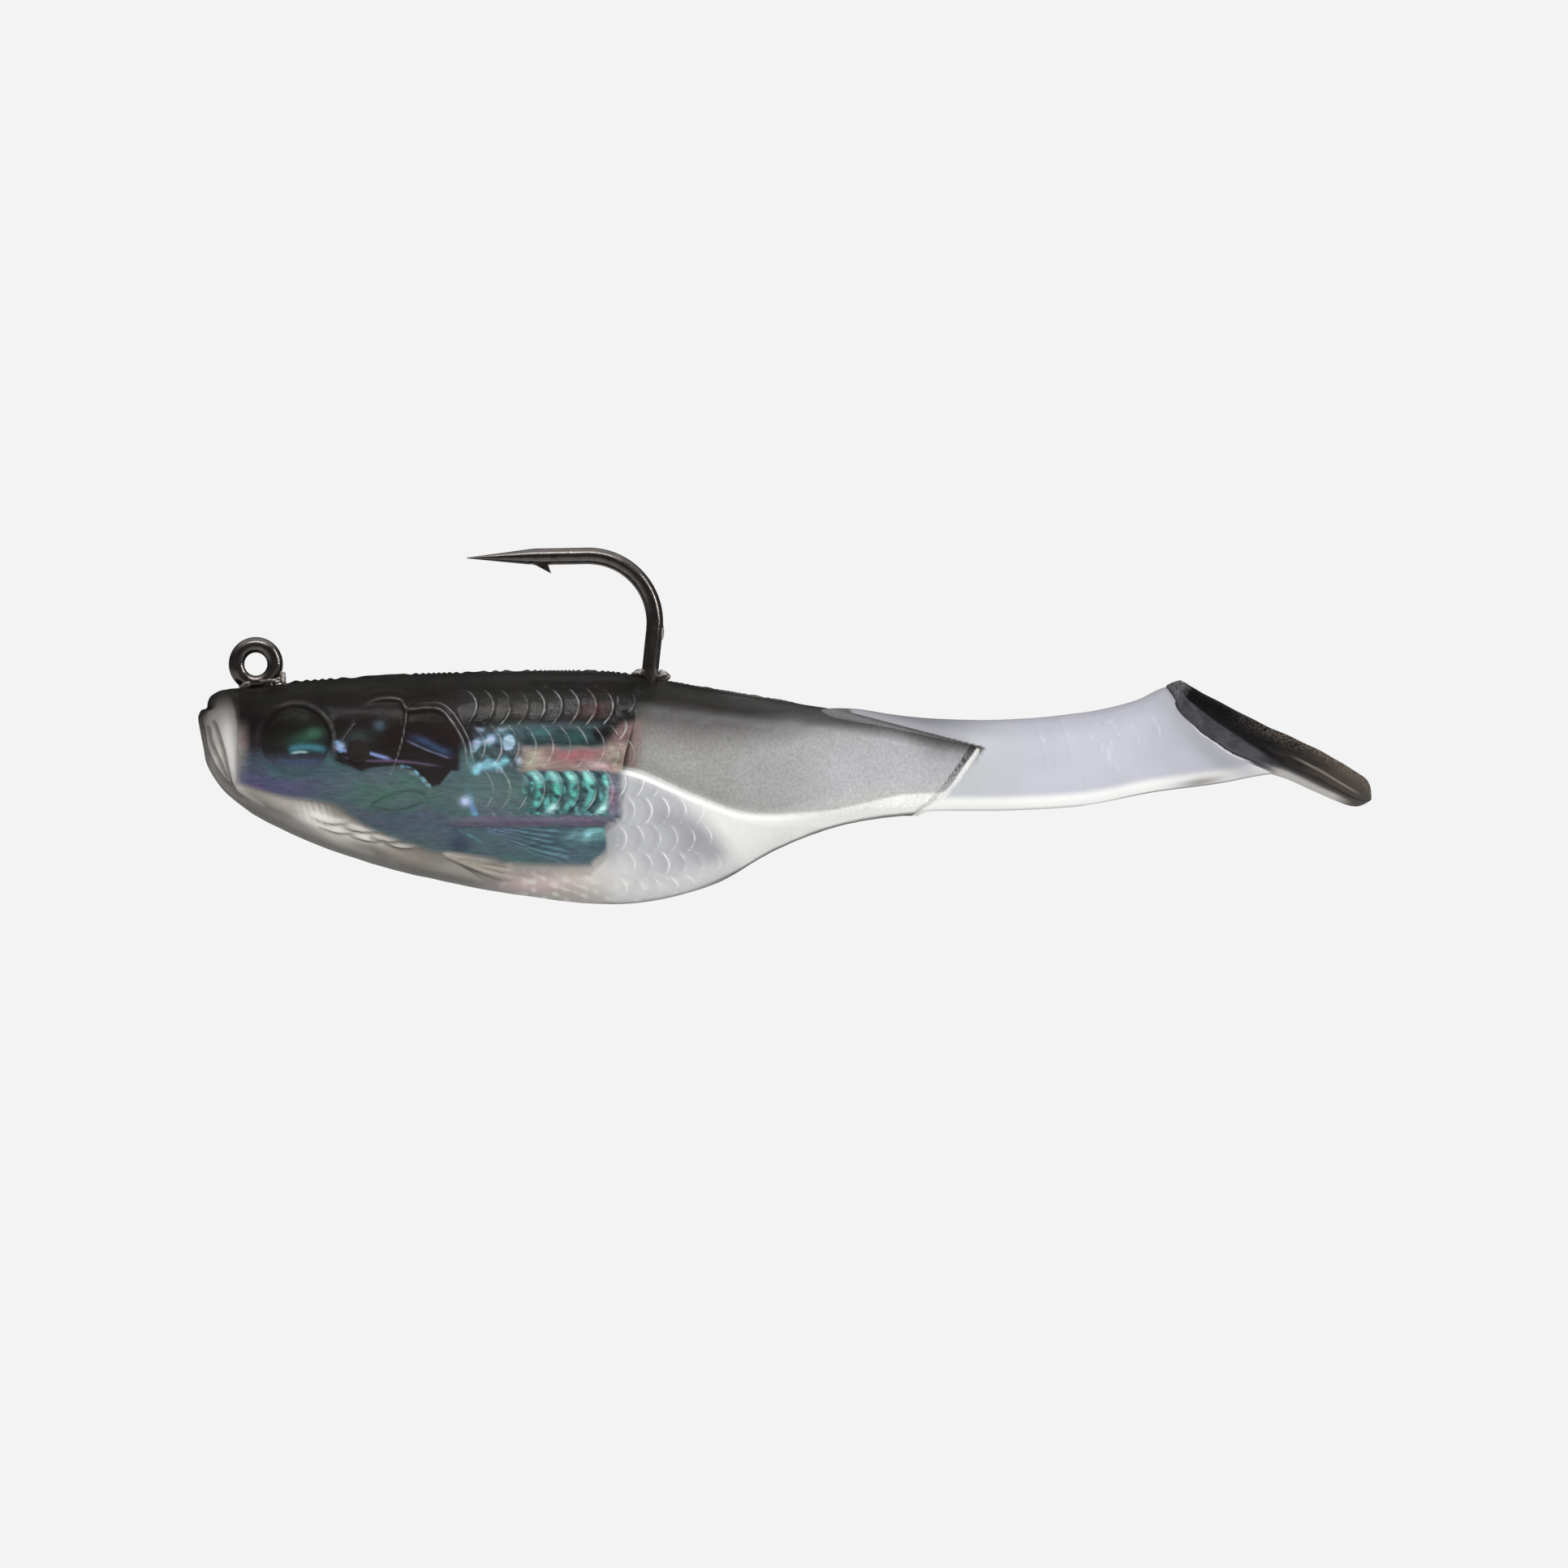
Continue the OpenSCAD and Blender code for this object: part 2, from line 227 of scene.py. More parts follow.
def waves(x, y, z, scale, seed):
    """A soft random field from -1 to 1: a few crossed waves with fixed directions."""
    rng = np.random.default_rng(seed)
    total = np.zeros(np.broadcast(x, y, z).shape)
    for _ in range(9):
        d = rng.normal(size=3)
        d /= np.linalg.norm(d)
        f = 2 * np.pi / scale * (0.6 + 1.1 * rng.random())
        total += np.sin(f * (d[0] * x + d[1] * y + d[2] * z) + 2 * np.pi * rng.random())
    return total / 4.0


def ripples(x, z, scale, seed):
    """The same soft random field over a flank seen from the side."""
    return waves(x, 0 * x, z, scale, seed)


def ring_angles(cols):
    """The angles of the points of a ring, from its lowest point round."""
    return np.linspace(0, 2 * np.pi, cols, endpoint=False)[None, :] - np.pi / 2


def outward_normals(rings):
    """Unit normals, pointing out, of a surface given as closed rings of points."""
    along_it = np.gradient(rings, axis=0)
    round_it = (np.roll(rings, -1, 1) - np.roll(rings, 1, 1)) / 2
    n = np.cross(along_it, round_it)
    n /= np.maximum(np.linalg.norm(n, axis=-1, keepdims=True), 1e-9)
    row, col = rings.shape[0] // 2, rings.shape[1] // 4
    out = rings[row, col] - rings[row].mean(0)
    return n if n[row, col] @ out > 0 else -n


def make_mesh(name, verts, faces, fields=None):
    """A smooth-shaded object from points in millimetres. fields are point attributes. The points at rest are
    kept as one too, so that a pattern stays on the surface when the piece bends."""
    verts = np.asarray(verts, float)
    mesh = bpy.data.meshes.new(name)
    mesh.from_pydata((verts * MM).tolist(), [], faces)
    mesh.update()
    mesh.polygons.foreach_set("use_smooth", [True] * len(mesh.polygons))
    keep = mesh.attributes.new("rest", "FLOAT_VECTOR", "POINT")
    keep.data.foreach_set("vector", np.asarray(verts, np.float32).ravel())
    for key, value in (fields or {}).items():
        value = np.asarray(value, np.float32)
        if value.ndim == 2:
            rgba = np.ones((len(value), 4), np.float32)
            rgba[:, :3] = value
            mesh.attributes.new(key, "FLOAT_COLOR", "POINT").data.foreach_set("color", rgba.ravel())
        else:
            mesh.attributes.new(key, "FLOAT", "POINT").data.foreach_set("value", value.ravel())
    obj = bpy.data.objects.new(name, mesh)
    bpy.context.scene.collection.objects.link(obj)
    return obj


def grid_faces(rows, cols, closed=True, cap_start=False, cap_end=False):
    i, j = np.meshgrid(np.arange(rows - 1), np.arange(cols if closed else cols - 1), indexing="ij")
    a = i * cols + j
    b = i * cols + (j + 1) % cols
    faces = np.stack([a, b, b + cols, a + cols], -1).reshape(-1, 4).tolist()
    if cap_start:
        faces.append(list(range(cols - 1, -1, -1)))
    if cap_end:
        faces.append([(rows - 1) * cols + k for k in range(cols)])
    return faces


# ---- materials ------------------------------------------------------------------------------------------

def tone(r, g, b):
    """A display colour, 0 to 255, as the linear colour that a shader takes."""
    c = np.array([r, g, b], float) / 255
    lin = np.where(c <= 0.04045, c / 12.92, ((c + 0.055) / 1.055) ** 2.4)
    return tuple(float(v) for v in lin)


class Shade:
    """A material under construction: each call adds one node and gives back its output."""

    def __init__(self, name):
        self.mat = bpy.data.materials.new(name)
        self.mat.use_nodes = True
        self.tree = self.mat.node_tree
        self.tree.nodes.clear()

    def node(self, kind, **settings):
        n = self.tree.nodes.new("ShaderNode" + kind)
        for key, value in settings.items():
            setattr(n, key, value)
        return n

    def put(self, socket, value):
        if isinstance(value, bpy.types.NodeSocket):
            self.tree.links.new(value, socket)
        elif isinstance(value, tuple) and len(value) == 3 and len(socket.default_value) == 4:
            socket.default_value = (*value, 1.0)
        else:
            socket.default_value = value

    def math(self, operation, a, b=None, c=None, clamp=False):
        n = self.node("Math", operation=operation, use_clamp=clamp)
        for i, v in enumerate((a, b, c)):
            if v is not None:
                self.put(n.inputs[i], v)
        return n.outputs[0]

    def mul(self, a, b, clamp=False):
        return self.math("MULTIPLY", a, b, clamp=clamp)

    def add(self, a, b, clamp=False):
        return self.math("ADD", a, b, clamp=clamp)

    def sub(self, a, b):
        return self.math("SUBTRACT", a, b)

    def most(self, a, b, clamp=False):
        return self.math("MAXIMUM", a, b, clamp=clamp)

    def away(self, value, middle):
        """How far a value lies from a middle one."""
        return self.math("ABSOLUTE", self.sub(value, middle))

    def value(self, name):
        return self.node("Attribute", attribute_name=name).outputs["Fac"]

    def colour(self, name):
        return self.node("Attribute", attribute_name=name).outputs["Color"]

    def rest(self, stretch=(1, 1, 1)):
        where = self.node("Attribute", attribute_name="rest").outputs["Vector"]
        return self.scaled(where, stretch)

    def local(self, stretch=(1, 1, 1)):
        """Object coordinates in millimetres, for the pieces that come over from the CAD model."""
        where = self.node("TexCoord").outputs["Object"]
        return self.scaled(where, tuple(s / MM for s in stretch))

    def scaled(self, where, stretch):
        n = self.node("Mapping")
        self.put(n.inputs["Vector"], where)
        n.inputs["Scale"].default_value = stretch
        return n.outputs[0]

    def noise(self, where, scale, detail=4.0, rough=0.55, distort=0.0):
        n = self.node("TexNoise")
        self.put(n.inputs["Vector"], where)
        n.inputs["Scale"].default_value = scale
        n.inputs["Detail"].default_value = detail
        n.inputs["Roughness"].default_value = rough
        n.inputs["Distortion"].default_value = distort
        return n.outputs["Fac"]

    def cells(self, where, scale):
        n = self.node("TexVoronoi")
        self.put(n.inputs["Vector"], where)
        n.inputs["Scale"].default_value = scale
        return n.outputs["Distance"]

    def span(self, value, lo, hi, out_lo=0.0, out_hi=1.0, kind="LINEAR"):
        n = self.node("MapRange", interpolation_type=kind, clamp=True)
        for i, v in enumerate((value, lo, hi, out_lo, out_hi)):
            self.put(n.inputs[i], v)
        return n.outputs[0]

    def ease(self, value, lo, hi, out_lo=0.0, out_hi=1.0):
        return self.span(value, lo, hi, out_lo, out_hi, "SMOOTHSTEP")

    def mix(self, share, a, b, blend="MIX"):
        n = self.node("Mix", data_type="RGBA", blend_type=blend)
        self.put(n.inputs[0], share)
        self.put(n.inputs[6], a)
        self.put(n.inputs[7], b)
        return n.outputs[2]

    def tinted(self, colour, level):
        """A colour made lighter or darker by a level that changes over the surface."""
        tint = self.node("CombineColor")
        for socket in tint.inputs[:3]:
            self.put(socket, level)
        return self.mix(1.0, colour, tint.outputs[0], "MULTIPLY")

    def bump(self, height, distance, strength=1.0, over=None):
        n = self.node("Bump")
        n.inputs["Strength"].default_value = strength
        n.inputs["Distance"].default_value = distance
        self.put(n.inputs["Height"], height)
        if over is not None:
            self.put(n.inputs["Normal"], over)
        return n.outputs[0]

    def surface(self, **inputs):
        n = self.node("BsdfPrincipled")
        for key, value in inputs.items():
            self.put(n.inputs[key.replace("_", " ")], value)
        return n.outputs[0]

    def blend(self, share, a, b):
        n = self.node("MixShader")
        self.put(n.inputs[0], share)
        self.put(n.inputs[1], a)
        self.put(n.inputs[2], b)
        return n.outputs[0]

    def lets_light_in(self, shader, tint):
        """Clear resin over other pieces: light for what is inside passes straight through it, tinted."""
        path = self.node("LightPath")
        through = self.node("BsdfTransparent")
        self.put(through.inputs["Color"], tint)
        straight = self.math("MAXIMUM", path.outputs["Is Shadow Ray"], path.outputs["Is Diffuse Ray"])
        return self.blend(straight, shader, through.outputs[0])

    def done(self, shader):
        out = self.node("OutputMaterial")
        self.put(out.inputs["Surface"], shader)
        return self.mat


# ---- the clear casting ----------------------------------------------------------------------------------

EYE = (3.6, -6.75)
EYE_RING = 3.35      # radius of the moulded ring round the eye
EYE_DISC = 2.95      # radius of the printed eye under it
# moulded lines of the head, as [x, z] on the flank
GILL_COVER = [[9.0, -3.6], [11.0, -3.05], [12.6, -3.15], [13.2, -3.9], [15.0, -3.85], [16.2, -4.1],
              [17.3, -5.4], [18.1, -6.9], [18.35, -8.3], [18.8, -9.8]]
CHEEK_LINE = [[13.15, -4.0], [12.9, -6.0], [12.3, -8.2], [11.7, -9.6]]
CHEEK_CREASE = [[8.7, -5.1], [7.8, -6.3], [6.9, -7.7]]
GILL_FOLD = [[13.2, -9.3], [14.6, -9.9], [15.2, -10.8], [14.6, -11.6]]
MOUTH = {
    "jaw": [[-4.6, -5.0], [-4.1, -7.6], [-3.0, -9.6], [-1.6, -11.1], [0.2, -12.4]],
    "lip": [[-3.5, -5.0], [-3.2, -5.9], [-2.7, -7.6], [-2.2, -9.8], [-1.9, -10.6]],
    "gum": [[-4.0, -5.4], [-3.7, -6.9], [-2.7, -9.1], [-2.2, -10.1], [-1.5, -10.9]],
    "brow": [[-2.5, -2.3], [-2.1, -2.9], [-1.7, -3.9], [-1.35, -6.0], [-1.25, -9.8]],
}
# where each throat ridge starts (x, z), and its length
THROAT = [(4.8, -13.3, 3.4), (5.4, -14.1, 3.6), (7.4, -14.0, 3.6), (8.0, -14.8, 3.6), (9.7, -14.8, 3.4),
          (10.9, -15.4, 3.2)]

SCALE_ROW = 3.7      # height of a row of scales, measured round the flank
SCALE_PITCH = 1.47   # distance from one scale's rim to the next
SCALE_BULGE = 0.95   # how far a rim bows towards the tail
SCALE_RIM = 0.88     # where the rim lies in its scale
BELLY_ROW = 2.45     # height of a row on the clear belly
BELLY_FROM = 31.3    # the belly's rows start here
LATERAL_Z = -9.0     # the height at which two rows meet


def scale_cells(x, v, tall=SCALE_ROW):
    """For moulded scales, with x along the flank and v round it from the lateral line: (share of the way
    through the scale, place in its row from -1 to 1, its number along the row, its row)."""
    row = np.floor(v / tall)
    t = 2 * (v / tall - row) - 1
    phase = (x - SCALE_BULGE * (1 - t * t) * tall / SCALE_ROW + (row % 2) * SCALE_PITCH / 2) / SCALE_PITCH
    return phase - np.floor(phase), t, np.floor(phase), row


def scale_field(x, v, tall=SCALE_ROW):
    """(height, edge) of moulded scales. edge is 1 on each scale's rim."""
    f, t, _, _ = scale_cells(x, v, tall)
    rise = np.where(f < SCALE_RIM, f / SCALE_RIM, (1 - f) / (1 - SCALE_RIM))
    seam = bell(1 - np.abs(t), 0.08)
    return rise * (1 - 0.7 * seam), bell(f - SCALE_RIM, 0.09) * (1 - seam)


def spread(number, row=0.0):
    """A steady pseudo-random share for each scale, from its number and row."""
    v = np.sin(number * 12.9898 + row * 78.233) * 43758.5453
    return v - np.floor(v)


class Painter:
    """Colours laid over the points of a surface, region by region."""

    def __init__(self, x, z, base):
        self.x, self.z = x, z
        self.paint = np.empty(x.shape + (3,))
        self.paint[:] = tone(*base)

    def spot(self, cx, cz, rx, rz, turn=0.0):
        c, s = math.cos(math.radians(turn)), math.sin(math.radians(turn))
        u = ((self.x - cx) * c + (self.z - cz) * s) / rx
        w = (-(self.x - cx) * s + (self.z - cz) * c) / rz
        return np.exp(-(u * u + w * w))

    def stroke(self, points, width, fade=0.15):
        d, _, u = to_curve(self.x, self.z, points)
        return bell(d, width) * smooth(0, fade, u) * fall(1 - fade, 1, u)

    def above(self, points, soft=0.3):
        """1 over a line drawn through points from nose to tail, 0 under it."""
        line = np.interp(self.x, [p[0] for p in points], [p[1] for p in points])
        return smooth(-soft, soft, self.z - line)

    def lay(self, mask, colour, strength=1.0):
        m = np.clip(mask * strength, 0, 1)[..., None]
        self.paint = self.paint * (1 - m) + np.array(tone(*colour)) * m

    def dab(self, cx, cz, rx, rz, colour, strength=1.0, turn=0.0):
        """A soft oval round (cx, cz), turned by so many degrees."""
        self.lay(self.spot(cx, cz, rx, rz, turn), colour, strength)

    def draw(self, points, width, colour, strength=1.0, fade=0.15):
        """A soft line that fades towards both ends."""
        self.lay(self.stroke(points, width, fade), colour, strength)


NOSE_LENGTH = 7.0    # closely ringed stretch behind the nose
SKIN_STEP = 0.165    # from ring to ring behind it
TAIL_FROM = 47.0     # from here the rings lean over, to end at the slanted edge
TAIL_STEPS = 50
SKIN_COLS = 240
BEVEL = 1.3          # length of the bevel at the slanted edge
# (share of the bevel's length, share of the width, a level for the bevel's bump, roughness, painted shade and
# painted highlight) of the rings that shut the edge
EDGE_RINGS = [(0.1, 0.99, 0.15), (0.3, 0.93, 0.35), (0.5, 0.87, 0.55), (0.62, 0.83, 0.7), (0.82, 0.77, 0.95),
              (1.0, 0.68, 1.0), (0.7, 0.4, 1.0), (0.2, 0.12, 1.0)]
FIN_ROOT = (17.4, -13.2)
SMALL_FIN_ROOT = (15.6, -16.0)


def skin_rings():
    """The casting's smooth surface as rings from the nose to the bevel, and how far round the flank each
    point lies from the lateral line, counted the same way on both sides."""
    nose = nose_x + NOSE_LENGTH * np.linspace(0, 1, 56) ** 1.7
    front = np.arange(nose[-1] + SKIN_STEP, TAIL_FROM, SKIN_STEP)
    even = np.concatenate([nose, front])
    a = ring_angles(SKIN_COLS)

    probe = np.linspace(TAIL_FROM, BACK[-1][0], 500)[:, None]
    past = probe >= chevron_x(body_at(probe, a)[..., 2])
    first = np.where(past.any(axis=0), np.argmax(past, axis=0), len(probe) - 1)
    x_end = probe[first, 0]
    w = np.linspace(0, 1, TAIL_STEPS + 1)[1:, None]
    xs = np.vstack([np.repeat(even[:, None], SKIN_COLS, 1), TAIL_FROM + w * (x_end - BEVEL - TAIL_FROM)])
    p = body_at(xs, a)

    seg = np.linalg.norm(np.diff(p, axis=1, append=p[:, :1]), axis=2)
    v = np.cumsum(seg, axis=1) - seg
    top = SKIN_COLS // 2
    v = np.where(np.arange(SKIN_COLS)[None, :] <= top, v, 2 * v[:, top:top + 1] - v)
    level = [np.interp(LATERAL_Z, p[i, :top + 1, 2], v[i, :top + 1]) for i in range(len(p))]
    return p, v - np.array(level)[:, None]


def fan_of_rays(x, z, root):
    """(distance, angle in degrees) from a fin's root."""
    fx, fz = x - root[0], z - root[1]
    return np.hypot(fx, fz), np.degrees(np.arctan2(fz, fx))


def throat_ridges(x, z):
    """(groove, lit side) of the short swept ridges under the gill cover."""
    groove = np.zeros_like(x)
    lit = np.zeros_like(x)
    for tx, tz, length in THROAT:
        ridge = [[tx, tz], [tx + length * 0.5, tz - 0.55], [tx + length, tz - 0.5]]
        d, side, u = to_curve(x, z, ridge)
        swell = np.sin(np.pi * np.clip(u, 0, 1)) ** 0.5
        groove = np.maximum(groove, bell(d, 0.12) * swell)
        lit = np.maximum(lit, bell(side - 0.3, 0.17) * (d < 1) * swell)
    return groove, lit


def paint_snout(c, depth, mouth):
    """A painted highlight as a bright upright band, between creases painted dark as shade, brown at the lip's
    nub with a small painted highlight, dark at the top.
    """
    snout = fall(-1.2, -0.6, c.x)
    c.lay(snout, (176, 171, 166))
    # painted highlight: a bright upright band down the snout
    c.dab(-2.1, -7.4, 0.62, 3.2, (236, 234, 232), 0.95, turn=6)
    c.dab(-3.3, -8.2, 0.35, 1.3, (214, 209, 202), 0.8, turn=-24)
    c.lay(snout * fall(0.2, 4.0, depth), (46, 42, 38), 0.95)
    c.lay(smooth(-2.4, -1.6, c.x) * snout * fall(0.6, 2.2, depth), (26, 23, 20), 0.9)
    c.dab(-4.6, -4.8, 0.5, 0.9, (62, 52, 46), 0.85)
    # a small painted highlight on the lip's nub
    c.dab(-4.75, -5.0, 0.12, 0.4, (196, 188, 178), 0.7)
    (jaw, jaw_u), (lip, lip_u), (gum, gum_u), (brow, brow_u) = mouth.values()
    # painted shade in the creases of the lip, the gum, the brow and the jaw
    c.lay(bell(lip, 0.17) * fall(0.9, 1, lip_u), (70, 65, 60), 0.9)
    c.lay(bell(gum, 0.15) * fall(0.9, 1, gum_u), (74, 70, 64), 0.85)
    c.lay(bell(brow, 0.15) * (1 - 0.5 * smooth(0.2, 0.5, brow_u)), (48, 40, 36), 0.9)
    c.lay(bell(jaw, 0.24) * fall(0.8, 1, jaw_u), (46, 42, 38), 0.9)


def paint_throat(c, lift, groove, lit, small):
    """Pearly, with a painted highlight in the middle, swept ridges with painted highlights on their lit sides
    and painted shade in their grooves, and painted shade along the keel.
    """
    x, z = c.x, c.z
    c.lay(between(x, -1.0, 0.4, 14, 20), (128, 122, 113), 0.85)
    c.dab(3.0, -12.1, 3.6, 0.8, (198, 192, 182), 0.85, turn=-22)
    # painted highlight in the middle of the throat
    c.dab(7.0, -14.4, 2.8, 0.95, (250, 246, 236), 0.95, turn=-24)
    c.dab(12.6, -16.4, 3.0, 0.7, (172, 160, 148), 0.8, turn=-16)
    c.dab(18.6, -18.0, 3.4, 0.6, (178, 172, 160), 0.8, turn=-8)
    # painted shade along the keel
    c.lay(bell(lift - 0.25, 0.55) * fall(18, 26, x), (78, 74, 68), 0.85)
    c.lay(bell(lift - 1.1, 0.4) * between(x, -1, 1, 4, 7), (92, 87, 80), 0.6)
    # painted highlights on the ridges: bright spots, their lit sides and a rippled patch; painted shade in
    # their grooves
    c.dab(5.6, -13.3, 1.6, 0.6, (255, 252, 246), 0.9, turn=-24)
    c.dab(9.8, -14.9, 1.7, 0.5, (255, 252, 246), 0.9, turn=-22)
    c.lay(lit, (246, 241, 232), 0.9)
    c.lay(groove, (70, 64, 57), 0.95)
    ripple = 0.5 + 0.5 * np.cos(2 * np.pi * (x + 0.3 * z) / 0.55)
    c.lay(c.spot(5.3, -12.9, 1.2, 0.8, turn=-24) * ripple, (255, 252, 246), 0.8)
    c.dab(9.6, -15.9, 3.4, 0.45, (98, 92, 84), 0.6, turn=-20)
    c.lay(small, (112, 106, 100), 0.85)
    # painted highlights along the small fin's strips, with painted shade beside them
    for low in (0.0, 0.5, 1.0):
        pale = [[16.0, -16.1 - 0.15 * low], [19.2, -16.8 - 0.7 * low], [22.6, -17.3 - 1.1 * low]]
        c.draw(pale, 0.14, (214, 204, 190), 0.85, fade=0.1)
        dark = [[16.2, -16.45 - 0.15 * low], [19.2, -17.15 - 0.7 * low], [22.4, -17.7 - 1.1 * low]]
        c.draw(dark, 0.1, (72, 64, 58), 0.75, fade=0.1)


def paint_belly(c, lift, v, area):
    """Pink and cream behind the throat, then the clear belly with painted shade in soft grey dips and inside
    its scales, painted light towards its rear and above its lower edge, and a painted dark outline along that
    edge.
    """
    x, z = c.x, c.z
    c.dab(24.6, -18.9, 3.0, 0.9, (216, 184, 186), 0.8)
    c.dab(28.4, -18.3, 2.8, 1.0, (232, 216, 204), 0.8)
    clear = smooth(29.8, 31.6, x)
    c.lay(clear, (192, 193, 198))
    # painted shade: a grey band under the core's lower edge and two dark smudges
    shade_band = c.stroke([[33.4, -12.3], [36.5, -13.7], [39.3, -14.7], [43.6, -14.9]], 0.85, 0.2)
    c.lay(clear * shade_band, (150, 151, 157), 0.75)
    c.dab(37.7, -15.3, 1.5, 1.1, (140, 141, 148), 0.8)
    c.dab(39.6, -16.5, 1.1, 1.0, (146, 147, 153), 0.75)
    # painted shade inside each of the belly's scales
    cell, _, _, _ = scale_cells(x, v, BELLY_ROW)
    c.lay(clear * area * bell(cell - 0.62, 0.17), (158, 159, 166), 0.45)
    c.dab(31.2, -17.8, 2.4, 1.5, (240, 238, 236), 0.75)
    lumps = smooth(0.1, 0.8, ripples(x, z, 1.1, 9)) * between(x, 22, 24, 36, 39)
    c.lay(lumps * fall(1.6, 2.8, lift), (246, 238, 234), 0.6)
    # painted light: the belly's rear and a band above its lower edge are painted near white
    c.lay(smooth(39.5, 42.5, x + 0.9 * (z + 16)) * clear, (252, 251, 247), 0.95)
    c.lay(bell(lift - 1.0, 1.0) * smooth(27, 33, x), (236, 236, 233), 0.7)
    # painted shade: a dark outline along the belly's lower edge
    c.lay(fall(0.08, 0.34, lift) * smooth(37, 41, x), (44, 44, 44), 0.9)
    c.lay(fall(0.0, 0.2, lift) * smooth(28, 31, x), (80, 80, 80), 0.7)
    c.dab(30.7, -15.0, 0.6, 1.6, (150, 153, 160), 0.8)


def pigment_at(x, y, z, depth):
    """How much black-olive the resin holds: it runs down the back and thins down the flank."""
    deep = depth + 0.35 * waves(x, y, z, 7.0, 8)
    head = fall(14, 19, x)
    reach = 3.5 + 1.8 * head - 0.9 * smooth(30, 40, x)
    pigment = fall(-0.2, 1.0, deep / reach) ** (1.1 - 0.5 * head)
    pigment = pigment + 0.35 * (1 - pigment) * bell(x - 31.2, 2.4) * fall(2.2, 4.4, depth)
    pigment *= 0.97 - 0.22 * between(x, 17, 21, 30.5, 33) - 0.3 * smooth(34, 47, x)
    pigment *= 1 - 0.85 * fall(-3.0, -0.8, x) * smooth(0.2, 2.0, depth)
    return np.clip(pigment, 0, 1)


def milk_at(x, z, lift, small, rib):
    """How hazy the resin is: in the snout, the throat and the belly, but not over the foil."""
    no_foil = np.maximum(fall(-1.9, -1.1, x), smooth(-0.25, 0.45, along(FOIL_LOW, x) - z))
    no_foil = np.maximum(no_foil, smooth(31.2, 32.0, x) * fall(-0.2, 0.3, rib))
    film = film_end(np.clip((-2.6 - z) / 14.7, 0, 1))
    no_foil = np.maximum(no_foil, smooth(-0.15, 0.25, x - film) * fall(-13.4, -13.0, z))
    milk = no_foil * (0.78 - 0.14 * smooth(20, 30, x))
    milk = np.maximum(milk, 0.75 * smooth(44, 47, x) * fall(-0.3, 0.5, rib))
    milk = np.maximum(milk, 0.65 * small * between(x, 15.6, 16.4, 19.5, 22.5))
    return np.maximum(milk, 0.9 * fall(0.1, 0.35, lift) * smooth(38, 42, x))


